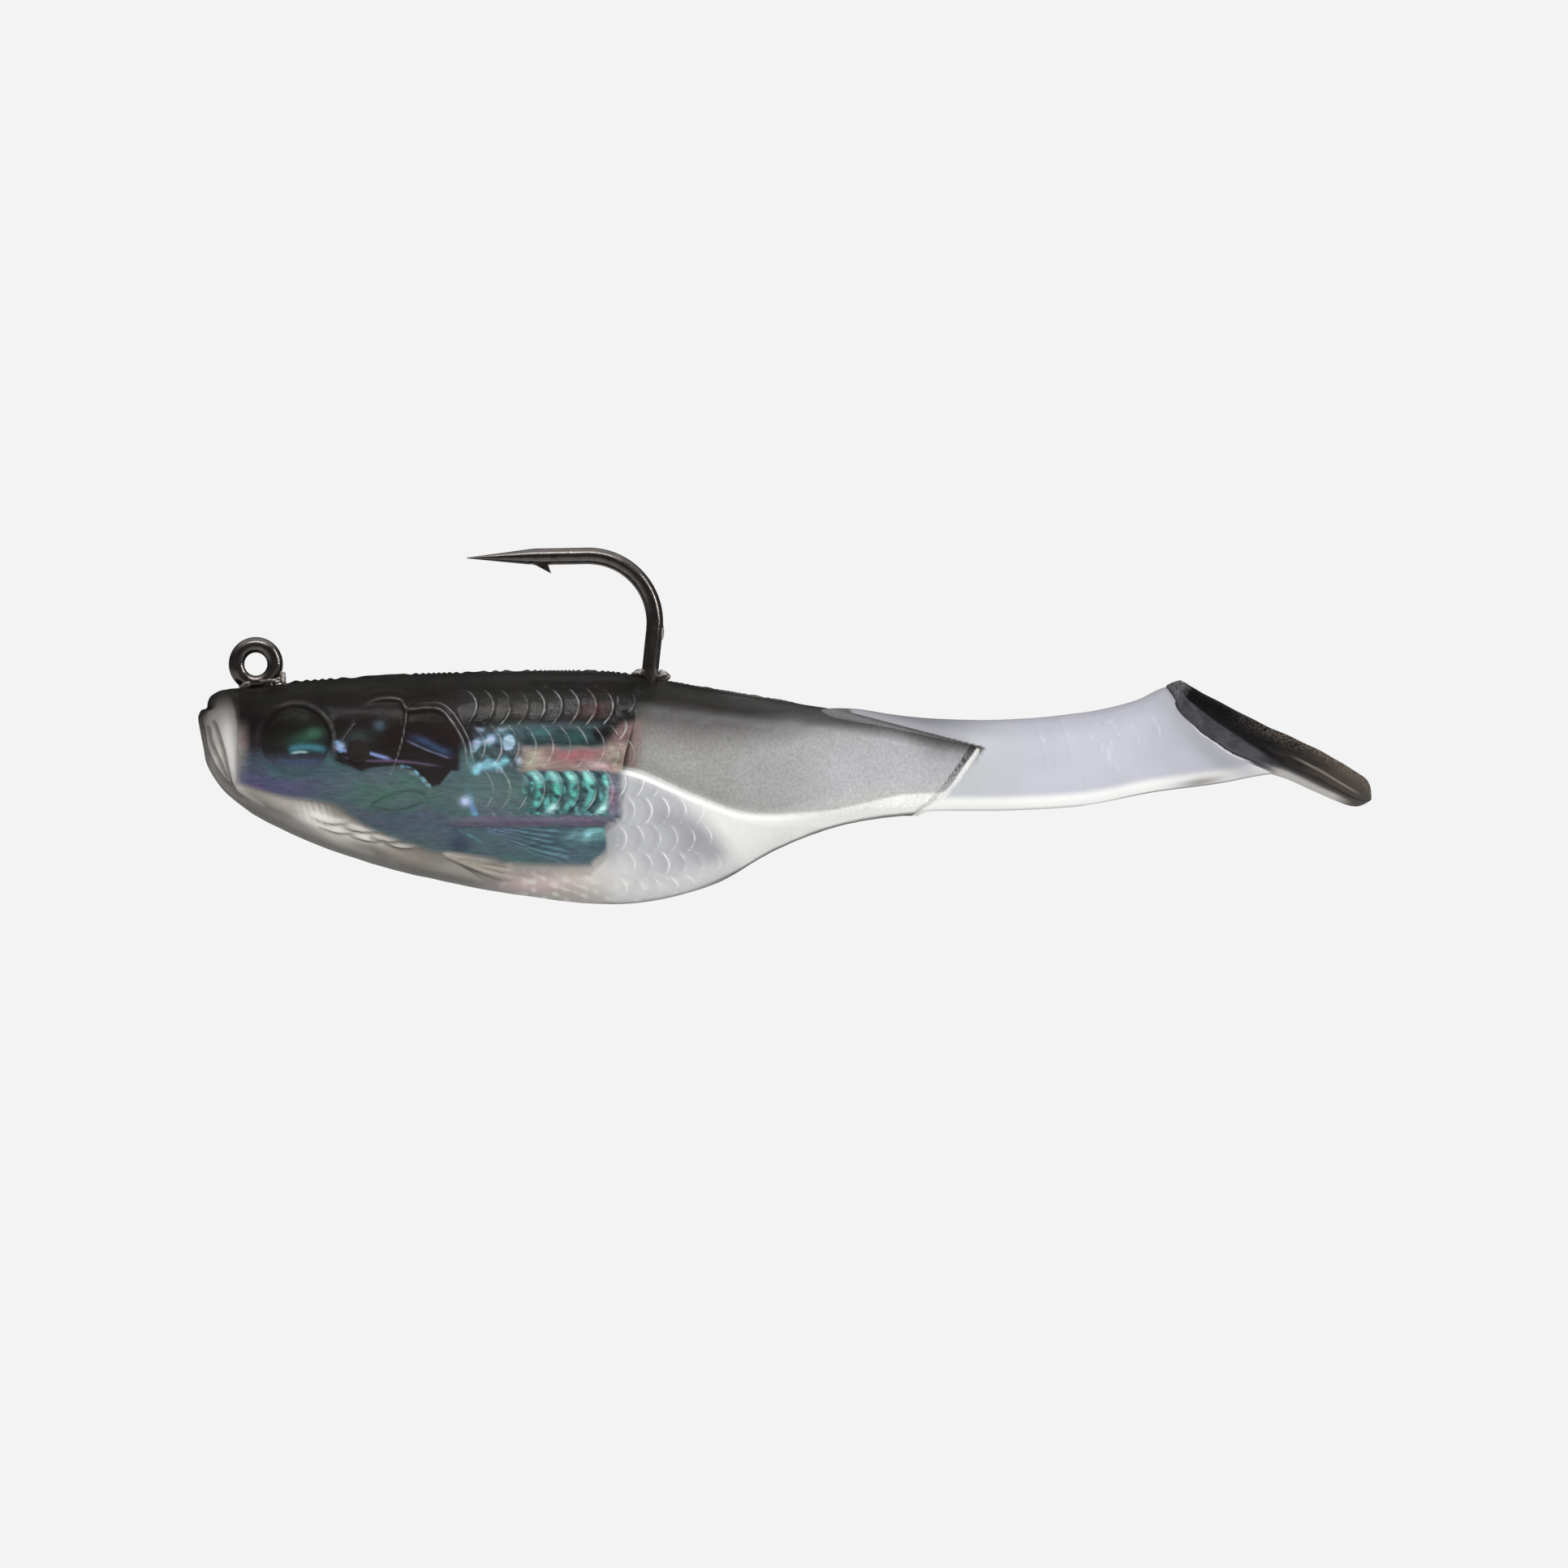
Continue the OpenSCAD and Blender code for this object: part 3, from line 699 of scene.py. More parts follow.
def build_skin():
    """The clear soft casting from the nose to its slanted rear edge, with everything moulded into it."""
    p, v = skin_rings()
    n = outward_normals(p)
    x, y, z = p[..., 0], p[..., 1], p[..., 2]
    back, belly = along(BACK, x), along(BELLY, x)
    depth, lift = back - z, z - belly
    flank = smooth(0.15, 0.6, np.abs(y) / (body_width / 2 * along(FLANK, x)))
    h = np.zeros_like(x)

    # the eye's moulded ring, and the shallow socket inside it
    r = np.hypot(x - EYE[0], z - EYE[1])
    to_rear = (x - EYE[0]) + (z - EYE[1])
    h += 0.14 * bell(r - EYE_RING, 0.24) * (0.55 + 0.45 * smooth(-1.5, 2.0, to_rear))
    h -= 0.06 * fall(2.4, 3.3, r)

    # gill cover: it stands proud in front of its edge, with a rounded double rim
    gill, gill_side, gill_u = to_curve(x, z, GILL_COVER)
    ends = smooth(0, 0.12, gill_u) * (1 - 0.8 * smooth(0.86, 1, gill_u))
    h += flank * (0.2 * bell(gill, 0.16) + 0.12 * bell(gill - 0.55, 0.16) * (gill_side > 0)) * ends
    cheek, _, cheek_u = to_curve(x, z, CHEEK_LINE)
    h += flank * 0.14 * bell(cheek, 0.13) * fall(0.85, 1, cheek_u)
    crease, _, crease_u = to_curve(x, z, CHEEK_CREASE)
    h += flank * 0.12 * bell(crease, 0.12) * between(crease_u, 0, 0.1, 0.9, 1)
    fold, _, _ = to_curve(x, z, GILL_FOLD)
    h += flank * 0.1 * bell(fold, 0.14)

    # mouth: the jaw's parting, the lip's and gum's creases and the brow
    mouth = {name: to_curve(x, z, line)[::2] for name, line in MOUTH.items()}
    (jaw, jaw_u), (lip, lip_u), (gum, gum_u), (brow, brow_u) = mouth.values()
    h += -0.3 * bell(jaw, 0.16) * fall(0.8, 1, jaw_u) + 0.12 * bell(jaw - 0.35, 0.2)
    h += -0.16 * bell(lip, 0.14) * fall(0.85, 1, lip_u) * smooth(0, 0.1, lip_u)
    h += -0.14 * bell(gum, 0.13) * fall(0.85, 1, gum_u) - 0.1 * bell(brow, 0.16) * fall(0.8, 1, brow_u)
    # the upper lip's nub, and the notch over it
    h += fall(-4.2, -3.2, x) * (0.2 * bell(z + 4.75, 0.55) - 0.4 * bell(z + 3.7, 0.26))

    groove, lit = throat_ridges(x, z)
    h += 0.2 * lit - 0.1 * groove

    # pectoral fin: a low plate with rays that fan back from its root, and the small fin under it
    fr, fa = fan_of_rays(x, z, FIN_ROOT)
    fan = between(fr, 0.6, 1.6, 11.2, 11.9) * between(fa, -22.5, -21, 1.5, 3.2)
    rays = 0.5 + 0.5 * np.cos(2 * np.pi * (fa + 1.5) / 3.6)
    h += fan * flank * (0.1 + 0.11 * rays * (1 - smooth(6, 11, fr) * 0.7))
    gr, ga = fan_of_rays(x, z, SMALL_FIN_ROOT)
    small = between(gr, 0.3, 0.8, 6.0, 6.6) * between(ga, -33, -31, -9, -6)
    small_rays = 0.5 + 0.5 * np.cos(2 * np.pi * (ga + 30) / 6.0)
    h += small * (0.08 + 0.14 * small_rays)

    # scales on the flank behind the gill cover and on the clear belly, but none over the frosted core
    over_core = smooth(31.2, 33.2, x) * smooth(0.0, 0.8, z - along(CORE_LOW, x))
    behind_gill = smooth(0.4, 1.6, gill_side) * (x > 15) * smooth(17.5, 18.6, x)
    area = behind_gill * fall(38.5, 41.5, x) * (1 - over_core) * smooth(0.8, 2.2, depth)
    area = area * (1 - 0.75 * fan) * (1 - 0.8 * small) * smooth(0.3, 1.2, lift)
    area = area * (1 - fall(-13.3, -12.7, z) * fall(30.6, 31.6, x))
    rise, rim = scale_field(x, v, np.where(x < BELLY_FROM, SCALE_ROW, BELLY_ROW))
    h += area * (0.1 * (rise - 0.5) + 0.04 * rim)

    # parting line: a thin scalloped flash along the back, a finer one along the belly
    scallop = 0.5 + 0.5 * np.cos(2 * np.pi * (x + 0.35 * np.sin(1.3 * x)) / (1.3 + 0.25 * np.sin(0.61 * x)))
    crest = bell(np.abs(y), 0.17) * (depth < 2) * between(x, 2.6, 3.6, 45.5, 47.5)
    h += crest * (0.1 + 0.14 * scallop * (1 - 0.6 * smooth(33, 36, x)))
    h += bell(np.abs(y), 0.14) * (lift < 2) * 0.08 * between(x, -3, 0, 40, 44)

    # the soft unevenness of a hand-poured casting
    h += 0.03 * waves(x, np.abs(y), z, 5.5, 3) + 0.012 * waves(x, np.abs(y), z, 1.6, 4)
    h *= smooth(nose_x, nose_x + 0.8, x)
    p = p + n * h[..., None]

    # the rear edge: a bevel down to the core, then shut inside it
    edge_rings = [p[-1] * [1, share, 1] + [step * BEVEL, 0, 0] for step, share, _ in EDGE_RINGS]
    whole = np.concatenate([p, np.stack(edge_rings)])
    darkness = np.repeat([[dark] for _, _, dark in EDGE_RINGS], SKIN_COLS, 1)

    def pad(f):
        return np.concatenate([f, np.repeat(f[-1:], len(EDGE_RINGS), 0)])

    rib = z - (along(CORE_LOW, x) + 0.12)
    c = Painter(x, z, (168, 164, 157))
    paint_snout(c, depth, mouth)
    paint_throat(c, lift, groove, lit, small)
    paint_belly(c, lift, v, area)
    fields = {
        "pigment": pad(pigment_at(x, y, z, depth)),
        "scale_area": pad(area),
        "around": pad(v),
        "milk": pad(milk_at(x, z, lift, small, rib)),
        "bevel": np.concatenate([np.zeros(x.shape), darkness]),
        "gill": pad(np.minimum(gill, 5)),
        "gill_show": pad(ends * fall(0.86, 1, gill_u)),
        "gill_out": pad(gill_side > 0),
        "cheek": pad(np.minimum(cheek, 5)),
        "crease": pad(np.minimum(np.minimum(crease, fold), 5)),
        "ring": pad(np.minimum(np.abs(r - EYE_RING), 5)),
        "ring_show": pad(0.05 + 0.2 * smooth(0.5, 3.0, to_rear) * smooth(-1.2, 0.6, z - EYE[1])),
        "rib": pad(np.clip(rib, -5, 5)),
    }
    fields = {key: value.ravel() for key, value in fields.items()}
    fields["milk_colour_and_light"] = pad(c.paint).reshape(-1, 3)
    faces = grid_faces(*whole.shape[:2], True, True, True)
    return make_mesh("clear_casting", whole.reshape(-1, 3), faces, fields)


def skin_material():
    s = Shade("clear_plastisol")
    rest = s.rest()
    around = s.value("around")
    area = s.value("scale_area")
    x = s.node("SeparateXYZ")
    s.put(x.inputs[0], s.node("Attribute", attribute_name="rest").outputs["Vector"])
    x_mm = x.outputs[0]

    # moulded scales at full sharpness: the same rows as the mesh carries
    belly_rows = s.math("GREATER_THAN", x_mm, BELLY_FROM)
    tall = s.add(SCALE_ROW, s.mul(belly_rows, BELLY_ROW - SCALE_ROW))
    row = s.math("DIVIDE", around, tall)
    row_no = s.math("FLOOR", row)
    t = s.sub(s.mul(s.sub(row, row_no), 2.0), 1.0)
    bulge = s.mul(s.sub(1.0, s.mul(t, t)),
                   s.mul(tall, SCALE_BULGE / SCALE_ROW))
    odd = s.mul(s.math("FLOORED_MODULO", row_no, 2.0), SCALE_PITCH / 2)
    phase = s.math("DIVIDE", s.add(s.sub(x_mm, bulge), odd), SCALE_PITCH)
    f = s.math("FRACT", phase)
    rim = s.ease(s.away(f, SCALE_RIM), 0.0, 0.09, 1.0, 0.0)
    seam = s.ease(s.math("ABSOLUTE", t), 0.86, 1.0, 1.0, 0.0)
    wear = s.span(s.noise(rest, 0.5, 3.0), 0.38, 0.62, 0.05, 1.0)
    scales = s.mul(s.mul(rim, seam), s.mul(area, wear))

    # the raised lines of the head
    def line(name, width):
        return s.ease(s.value(name), 0.0, width, 1.0, 0.0)

    gill2 = s.ease(s.away(s.value("gill"), 0.5), 0.0, 0.12, 0.9, 0.0)
    behind = s.mul(s.span(x_mm, 15.0, 16.5), s.value("gill_out"))
    lines = s.most(line("gill", 0.15), s.mul(gill2, behind))
    lines = s.mul(lines, s.value("gill_show"))
    lines = s.most(lines, line("cheek", 0.12))
    lines = s.mul(s.most(lines, s.mul(line("crease", 0.12), 0.8)), 0.42)
    ring = s.mul(line("ring", 0.3), s.value("ring_show"))
    lines = s.most(lines, s.mul(ring, 0.55))
    under_black = s.span(s.value("pigment"), 0.35, 0.8, 1.0, 0.2)
    on_belly = s.span(x_mm, 31.0, 32.5)
    shown = s.mul(s.add(0.62, s.mul(on_belly, 0.38)), under_black)
    marks = s.most(s.mul(scales, shown), lines, clamp=True)
    broken = s.span(s.noise(rest, 1.7, 3.0), 0.3, 0.62, 0.35, 1.0)
    marks = s.mul(marks, broken)

    # surface: fine orange peel and a few hair scratches
    peel = s.noise(rest, 2.6, 5.0, 0.6)
    fine = s.noise(rest, 14.0, 3.0, 0.6)
    hatch = s.noise(s.rest((9.0, 9.0, 1.4)), 1.0, 2.0, 0.5)
    bevel = s.value("bevel")
    normal = s.bump(peel, 0.00006, 0.5)
    normal = s.bump(fine, 0.000012, 0.5, normal)
    normal = s.bump(marks, 0.00008, 0.7, normal)
    normal = s.bump(s.mul(hatch, bevel), 0.00022, 0.8, normal)
    rough = s.span(peel, 0.3, 0.7, 0.05, 0.13)
    rough = s.add(rough, s.mul(bevel, 0.1))

    smoke = s.mix(s.span(s.noise(rest, 0.35, 3.0), 0.35, 0.65), tone(236, 236, 234), tone(250, 250, 252))
    clear = s.surface(Base_Color=smoke, Roughness=rough, IOR=1.3, Transmission_Weight=1.0, Normal=normal)
    # the hazy resin, whose colour carries the painted highlights and shade of the snout, throat and belly
    milky = s.surface(Base_Color=s.colour("milk_colour_and_light"), Roughness=0.3, IOR=1.4, Normal=normal)
    cloud = s.span(s.noise(rest, 0.8, 3.0, 0.6), 0.3, 0.7, 0.92, 1.08)
    clear = s.blend(s.mul(s.value("milk"), cloud, clamp=True), clear, milky)
    # painted shade inside the slanted edge's bevel, broken by the hatch and lighter low down
    inner_rim = s.mul(s.span(bevel, 0.02, 0.15), s.span(bevel, 0.5, 0.68, 1.0, 0.0))
    rim_dark = s.mul(inner_rim, s.span(hatch, 0.4, 0.58, 0.25, 0.9))
    rim_dark = s.mul(rim_dark, s.span(x.outputs[2], -11.0, -8.5, 0.4, 1.0))
    olive = s.mix(s.span(s.noise(rest, 0.5, 4.0), 0.3, 0.7), tone(9, 8, 6), tone(25, 23, 18))
    dark = s.surface(Base_Color=olive, Roughness=0.4, IOR=1.42, Specular_IOR_Level=0.08, Normal=normal)
    # the pale colour of the painted highlights, duller under the pigment
    pearl = s.mix(s.value("pigment"), tone(255, 255, 253), tone(150, 146, 130))
    glint = s.surface(Base_Color=pearl, Roughness=0.25, Normal=normal)

    grain = s.span(s.noise(rest, 3.2, 4.0, 0.65), 0.3, 0.7, -0.05, 0.05)
    share = s.add(s.value("pigment"), s.mul(grain, s.value("pigment")), clamp=True)
    shader = s.blend(share, clear, dark)
    shader = s.blend(rim_dark, shader, dark)
    # a painted highlight along the bevel, on the lower part of the slanted edge only
    below = s.span(x.outputs[2], -7.4, -6.8, 0.95, 0.0)
    bright_rim = s.mul(s.span(bevel, 0.62, 0.75), below)
    # a painted highlight: the core's lower edge shines through the resin as one bright line
    rib = s.math("ABSOLUTE", s.value("rib"))
    rib = s.add(s.ease(rib, 0.1, 0.3, 0.75, 0.0), s.ease(rib, 0.1, 0.85, 0.25, 0.0))
    rib = s.mul(rib, s.mul(s.span(x_mm, 31.4, 32.4), s.span(x_mm, 46.0, 49.0, 1.0, 0.0)))
    bright_rim = s.most(bright_rim, rib)
    strong = s.add(0.5, s.mul(on_belly, 0.45))
    # painted highlights: the scale rims, the moulded lines, the bevel's lower rim and the core's edge take
    # the pale glint surface
    shader = s.blend(s.most(s.mul(marks, strong), bright_rim), shader, glint)
    through = s.mix(share, (0.96, 0.96, 0.96), (0.3, 0.29, 0.27))
    return s.done(s.lets_light_in(shader, through))


# ---- the foil flanks ------------------------------------------------------------------------------------

FOIL_DEPTH = 0.815   # how far out the film lies, as a share of the casting's half width
FOIL_FROM = -1.4     # the film's front end
FILM_THICKNESS = 0.06
FILM_FIN_ROOT = (17.4, -13.4)   # the point that the film's rays fan out from
FOIL_TOP = [[FOIL_FROM, -4.2], [1, -2.9], [10, -2.6], [31.7, -2.6]]
FOIL_LOW = [[FOIL_FROM, -10.2], [2.2, -11.3], [6.6, -12.0], [8.2, -12.9], [9.8, -14.0], [13, -15.3],
            [16, -16.2], [20, -16.9], [25, -17.2], [31.7, -17.3]]

# a painted shadow of the hook's shank: a dark stroke over the film's end and the core's front, from high at
# the rear to low in front
SHANK_SHADOW = [[34.4, -2.5], [33.0, -3.5], [31.6, -4.6], [30.3, -5.8], [29.2, -6.4]]


def film_end(t):
    """How far back the film reaches, from its top edge (t = 0) down to its lower edge (t = 1)."""
    x = 31.6 + 1.3 * fall(0.05, 0.5, t) - 1.3 * smooth(0.72, 0.77, t) - 1.3 * smooth(0.86, 1.0, t) ** 2
    rough = (0.14 + 0.16 * smooth(0.72, 0.8, t)) * smooth(0.35, 0.5, t)
    return x + rough * waves(t * 9, 0 * t, 0 * t, 2.0, 21)


def patchy_at(x, z):
    """Patches where a stroke shows, between those where it fades out."""
    return smooth(-0.5, 0.5, ripples(x, z, 1.0, 25))


def paint_foil_head(c):
    """The film over the jig head, round the eye and over the cheek."""
    x, z = c.x, c.z
    patchy = patchy_at(x, z)
    # the upper part lies in the shade of the back
    c.lay(smooth(-8.8, -6.4, z) * fall(19, 23, x), (28, 25, 23), 0.95)
    c.lay(smooth(-8.0, -6.6, z) * fall(7.4, 9.0, x), (22, 19, 17), 0.9)
    c.lay(smooth(-5.8, -4.8, z) * smooth(17, 21, x), (28, 25, 22), 0.95)
    c.lay(smooth(-5.4, -4.4, z) * c.spot(22.2, -4.1, 2.8, 0.9), (58, 55, 47), 0.75)
    c.dab(29.4, -4.0, 1.6, 0.7, (70, 38, 38), 0.7, turn=8)
    c.dab(0.2, -6.6, 1.5, 2.0, (44, 38, 43), 0.8)
    c.lay(fall(-1.3, -0.1, x) * fall(-6.0, -4.4, z), (156, 146, 139), 0.85)
    c.dab(24.5, -2.9, 5.0, 0.7, (40, 36, 32), 0.6)
    # violet and blue under the eye, green-grey behind them
    c.dab(1.2, -10.2, 5.2, 1.5, (86, 78, 112), 0.95)
    c.dab(0.6, -8.6, 1.4, 1.0, (68, 68, 84), 0.8)
    c.dab(4.4, -8.9, 3.4, 1.1, (62, 82, 88), 0.95)
    c.dab(3.6, -9.4, 1.9, 0.5, (72, 104, 100), 0.7)
    c.dab(5.6, -10.9, 3.6, 0.7, (82, 82, 104), 0.6, turn=-10)
    c.dab(12.5, -11.2, 5.5, 1.5, (76, 104, 92), 0.95)
    c.dab(13.0, -13.4, 4.0, 1.0, (76, 82, 96), 0.8)
    c.dab(21.0, -11.2, 3.0, 1.5, (93, 112, 107), 0.9)
    c.draw([[9.6, -12.6], [11.2, -11.4], [13.6, -10.9], [15.4, -11.6]], 0.12, (52, 66, 60), 0.7)
    c.draw([[9.9, -12.2], [12.4, -12.5], [15.0, -11.7]], 0.1, (48, 62, 58), 0.7)
    # brown mass of the jig head where the film has gone clear, with painted highlights along its edges
    low_edge = [[6.2, -7.3], [6.9, -8.3], [8.2, -8.8], [9.2, -9.2], [10.6, -8.9], [12.4, -8.8], [13.8, -9.3],
                [15.2, -10.6], [16.0, -10.4], [17.0, -9.2], [18.4, -9.3]]
    brown = c.above(low_edge, 0.12) * between(x, 6.3, 7.4, 17.4, 18.0)
    c.lay(brown, (35, 26, 25), 0.95)
    c.draw([[3.0, -7.4], [4.6, -7.35], [6.4, -7.6]], 0.3, (72, 124, 138), 0.95)
    c.draw([[2.6, -7.9], [4.4, -8.3], [5.6, -8.4]], 0.14, (96, 122, 158), 0.8)
    c.draw([[6.9, -7.1], [7.6, -7.45], [9.4, -7.6], [10.6, -7.9], [12.0, -8.3]], 0.13, (150, 158, 205), 0.95)
    c.draw([[7.0, -6.6], [7.4, -7.2], [7.6, -7.7]], 0.16, (120, 170, 200), 0.9)
    c.dab(7.5, -7.1, 0.35, 0.3, (176, 200, 228), 0.9)
    c.dab(8.9, -6.4, 1.2, 0.8, (66, 74, 72), 0.7)
    c.dab(10.8, -5.4, 0.5, 0.4, (92, 116, 124), 0.6)
    c.draw([[12.8, -6.2], [14.6, -6.7], [16.2, -7.5], [17.6, -8.0]], 0.3, (62, 78, 106), 0.7, fade=0.35)
    c.draw([[13.0, -6.6], [15.0, -7.5], [17.0, -8.2]], 0.07, (120, 126, 150), 0.7)
    edge_glint = c.stroke([[12.4, -8.75], [13.6, -9.1], [14.5, -9.9], [15.3, -10.7]], 0.11)
    c.lay(patchy * edge_glint, (136, 186, 202), 0.85)
    c.draw([[7.4, -8.0], [9.6, -8.35], [12.6, -8.4], [16.6, -8.9]], 0.09, (112, 92, 118), 0.7)


def paint_foil_middle(c, crumple):
    """The crumple with its painted highlights, the hook shank's dark band, the painted shadow of the shank
    over the film's end, and the cream and rose band behind the gill cover.
    """
    x, z = c.x, c.z
    patchy = patchy_at(x, z)
    # the crumple behind the gill cover, with painted highlights on it and below it
    soft = np.clip(0.5 + ripples(x, z, 1.5, 19), 0, 1)
    c.lay(crumple, (76, 86, 88), 0.9)
    c.lay(crumple * smooth(0.45, 0.85, soft), (112, 146, 158), 0.85)
    c.lay(crumple * smooth(0.8, 1.0, soft), (184, 200, 214), 0.85)
    c.draw([[18.7, -9.6], [19.6, -8.9], [21.0, -8.7], [22.2, -8.0]], 0.32, (140, 196, 204), 0.9)
    glint = c.stroke([[18.5, -10.2], [18.6, -11.6], [19.0, -12.8], [19.6, -13.9]], 0.27, 0.3)
    c.lay((0.35 + 0.65 * patchy) * glint, (112, 156, 184), 0.8)
    c.dab(18.2, -11.8, 0.4, 0.35, (206, 220, 246), 1.0)
    # dark band of the hook's shank, then cream and rose
    dark = smooth(22.6, 23.6, x) * between(z, -7.3, -6.9, -5.9, -5.3)
    c.lay(dark, (46, 56, 56), 0.95)
    c.lay(dark * c.spot(24.6, -6.0, 1.2, 0.5), (74, 112, 110), 0.7)
    c.lay(dark * c.spot(27.8, -6.3, 1.3, 0.5), (56, 88, 88), 0.7)
    # the film's rear end lies against the frosted core, and the painted shadow of the hook's shank runs down
    # across both
    c.lay(smooth(30.4, 31.4, x) * between(z, -9.6, -8.8, -5.6, -4.6), (136, 110, 106), 0.9)
    c.draw(SHANK_SHADOW, 0.72, (26, 25, 23), 0.95, fade=0.05)
    sway = 0.28 * ripples(x, z, 3.0, 26)
    band = smooth(22.2, 24.0, x) * between(z + sway, -9.5, -8.9, -7.8, -6.8)
    c.lay(band, (146, 122, 116), 0.9)
    c.lay(band * c.spot(23.9, -8.2, 1.3, 1.1), (170, 164, 144), 0.95)
    c.lay(band * c.spot(27.9, -7.8, 2.2, 0.55), (164, 98, 104), 0.85)
    c.lay(band * c.spot(29.8, -8.9, 1.6, 0.5), (186, 172, 164), 0.85)
    c.lay(smooth(29.9, 30.8, x) * between(z, -9.8, -9.0, -7.4, -6.2), (160, 140, 131), 0.85)
    c.dab(31.3, -8.4, 0.6, 0.5, (96, 104, 70), 0.5)


def paint_emerald(c, scaly, scales, rim):
    """Emerald scales, each with its own painted highlight, and painted highlights as pale sparks at their
    lower tips.
    """
    x, z = c.x, c.z
    cell, place, chance = scales
    c.lay(scaly, (74, 98, 97), 0.95)
    crescent = smooth(0.28, 0.62, cell) * fall(SCALE_RIM - 0.12, SCALE_RIM, cell)
    upper = 0.35 + 0.65 * bell(place - (chance - 0.3), 0.6)
    crinkle = ripples(x, z, 0.8, 22)
    # painted highlights: a bright crescent on each scale, stronger on some
    c.lay(scaly * crescent * upper * smooth(-0.7, 0.4, crinkle), (120, 222, 198), 0.55 + 0.45 * chance)
    c.lay(scaly * smooth(0.25, 0.8, ripples(x, z, 1.2, 16)), (124, 196, 190), 0.55)
    c.lay(scaly * smooth(0.4, 0.9, -crinkle), (44, 62, 64), 0.7)
    # painted highlights: pale sparks at the scales' lower tips and on some of their rims
    c.lay(scaly * bell(place + 0.8, 0.22) * smooth(0.3, 0.7, cell) * (chance > 0.3), (206, 248, 242), 0.98)
    c.lay(scaly * bell(place - 0.62, 0.24) * smooth(0.3, 0.6, cell) * (chance < 0.65), (176, 232, 224), 0.85)
    c.lay(scaly * bell(place - 0.1, 0.5) * bell(cell - 0.62, 0.09) * (chance > 0.5), (196, 244, 236), 0.8)
    c.lay(scaly * rim, (38, 54, 56), 0.7)
    c.lay(smooth(30.2, 30.7, x) * between(z, -13.1, -12.8, -9.8, -9.4), (122, 124, 134), 0.85)
    c.dab(30.9, -11.4, 0.35, 1.0, (140, 96, 108), 0.6)


def paint_foil_low(c):
    """The violet fold strip, and the film under it with the fin's rays."""
    x, z = c.x, c.z
    patchy = patchy_at(x, z)
    c.lay(smooth(16.5, 18.5, x) * between(z, -14.0, -13.8, -13.3, -13.0), (100, 93, 106), 0.95)
    c.draw([[16.8, -13.9], [22, -14.0], [30.8, -13.95]], 0.06, (60, 64, 84), 0.8)
    lower = fall(-14.2, -13.9, z)
    c.lay(lower * smooth(15, 17, x), (82, 100, 104), 0.8)
    c.lay(lower * smooth(23, 26, x), (76, 99, 101), 0.8)
    reach, turn = fan_of_rays(x, z, FILM_FIN_ROOT)
    ray = 0.5 + 0.5 * np.cos(2 * np.pi * (turn + 0.06 * turn * waves(reach, 0 * x, 0 * z, 5.0, 23)) / 3.2)
    fan = lower * between(reach, 0.4, 1.2, 8.0, 12.5) * smooth(-24, -20, turn)
    c.lay(fan * (1 - ray), (54, 68, 84), 0.6)
    c.lay(fan * ray ** 3 * smooth(-0.5, 0.5, ripples(x, z, 2.4, 24)), (118, 154, 162), 0.75)
    c.lay(lower * patchy * c.stroke([[17.5, -14.2], [18.8, -14.8], [20.0, -15.5]], 0.11), (112, 160, 176), 0.6)
    c.lay(lower * c.spot(17.6, -15.4, 0.9, 1.3), (52, 58, 80), 0.7)
    c.lay(lower * c.stroke([[22.5, -15.6], [26.5, -15.3], [29.6, -14.5]], 0.1), (52, 74, 78), 0.7)
    c.lay(lower * c.spot(28.9, -14.6, 1.5, 0.5, turn=10) * (0.4 + 0.6 * patchy), (152, 206, 206), 0.95)
    c.lay(lower * smooth(29.5, 30.3, x) * fall(-15.6, -15.0, z), (84, 98, 122), 0.45)


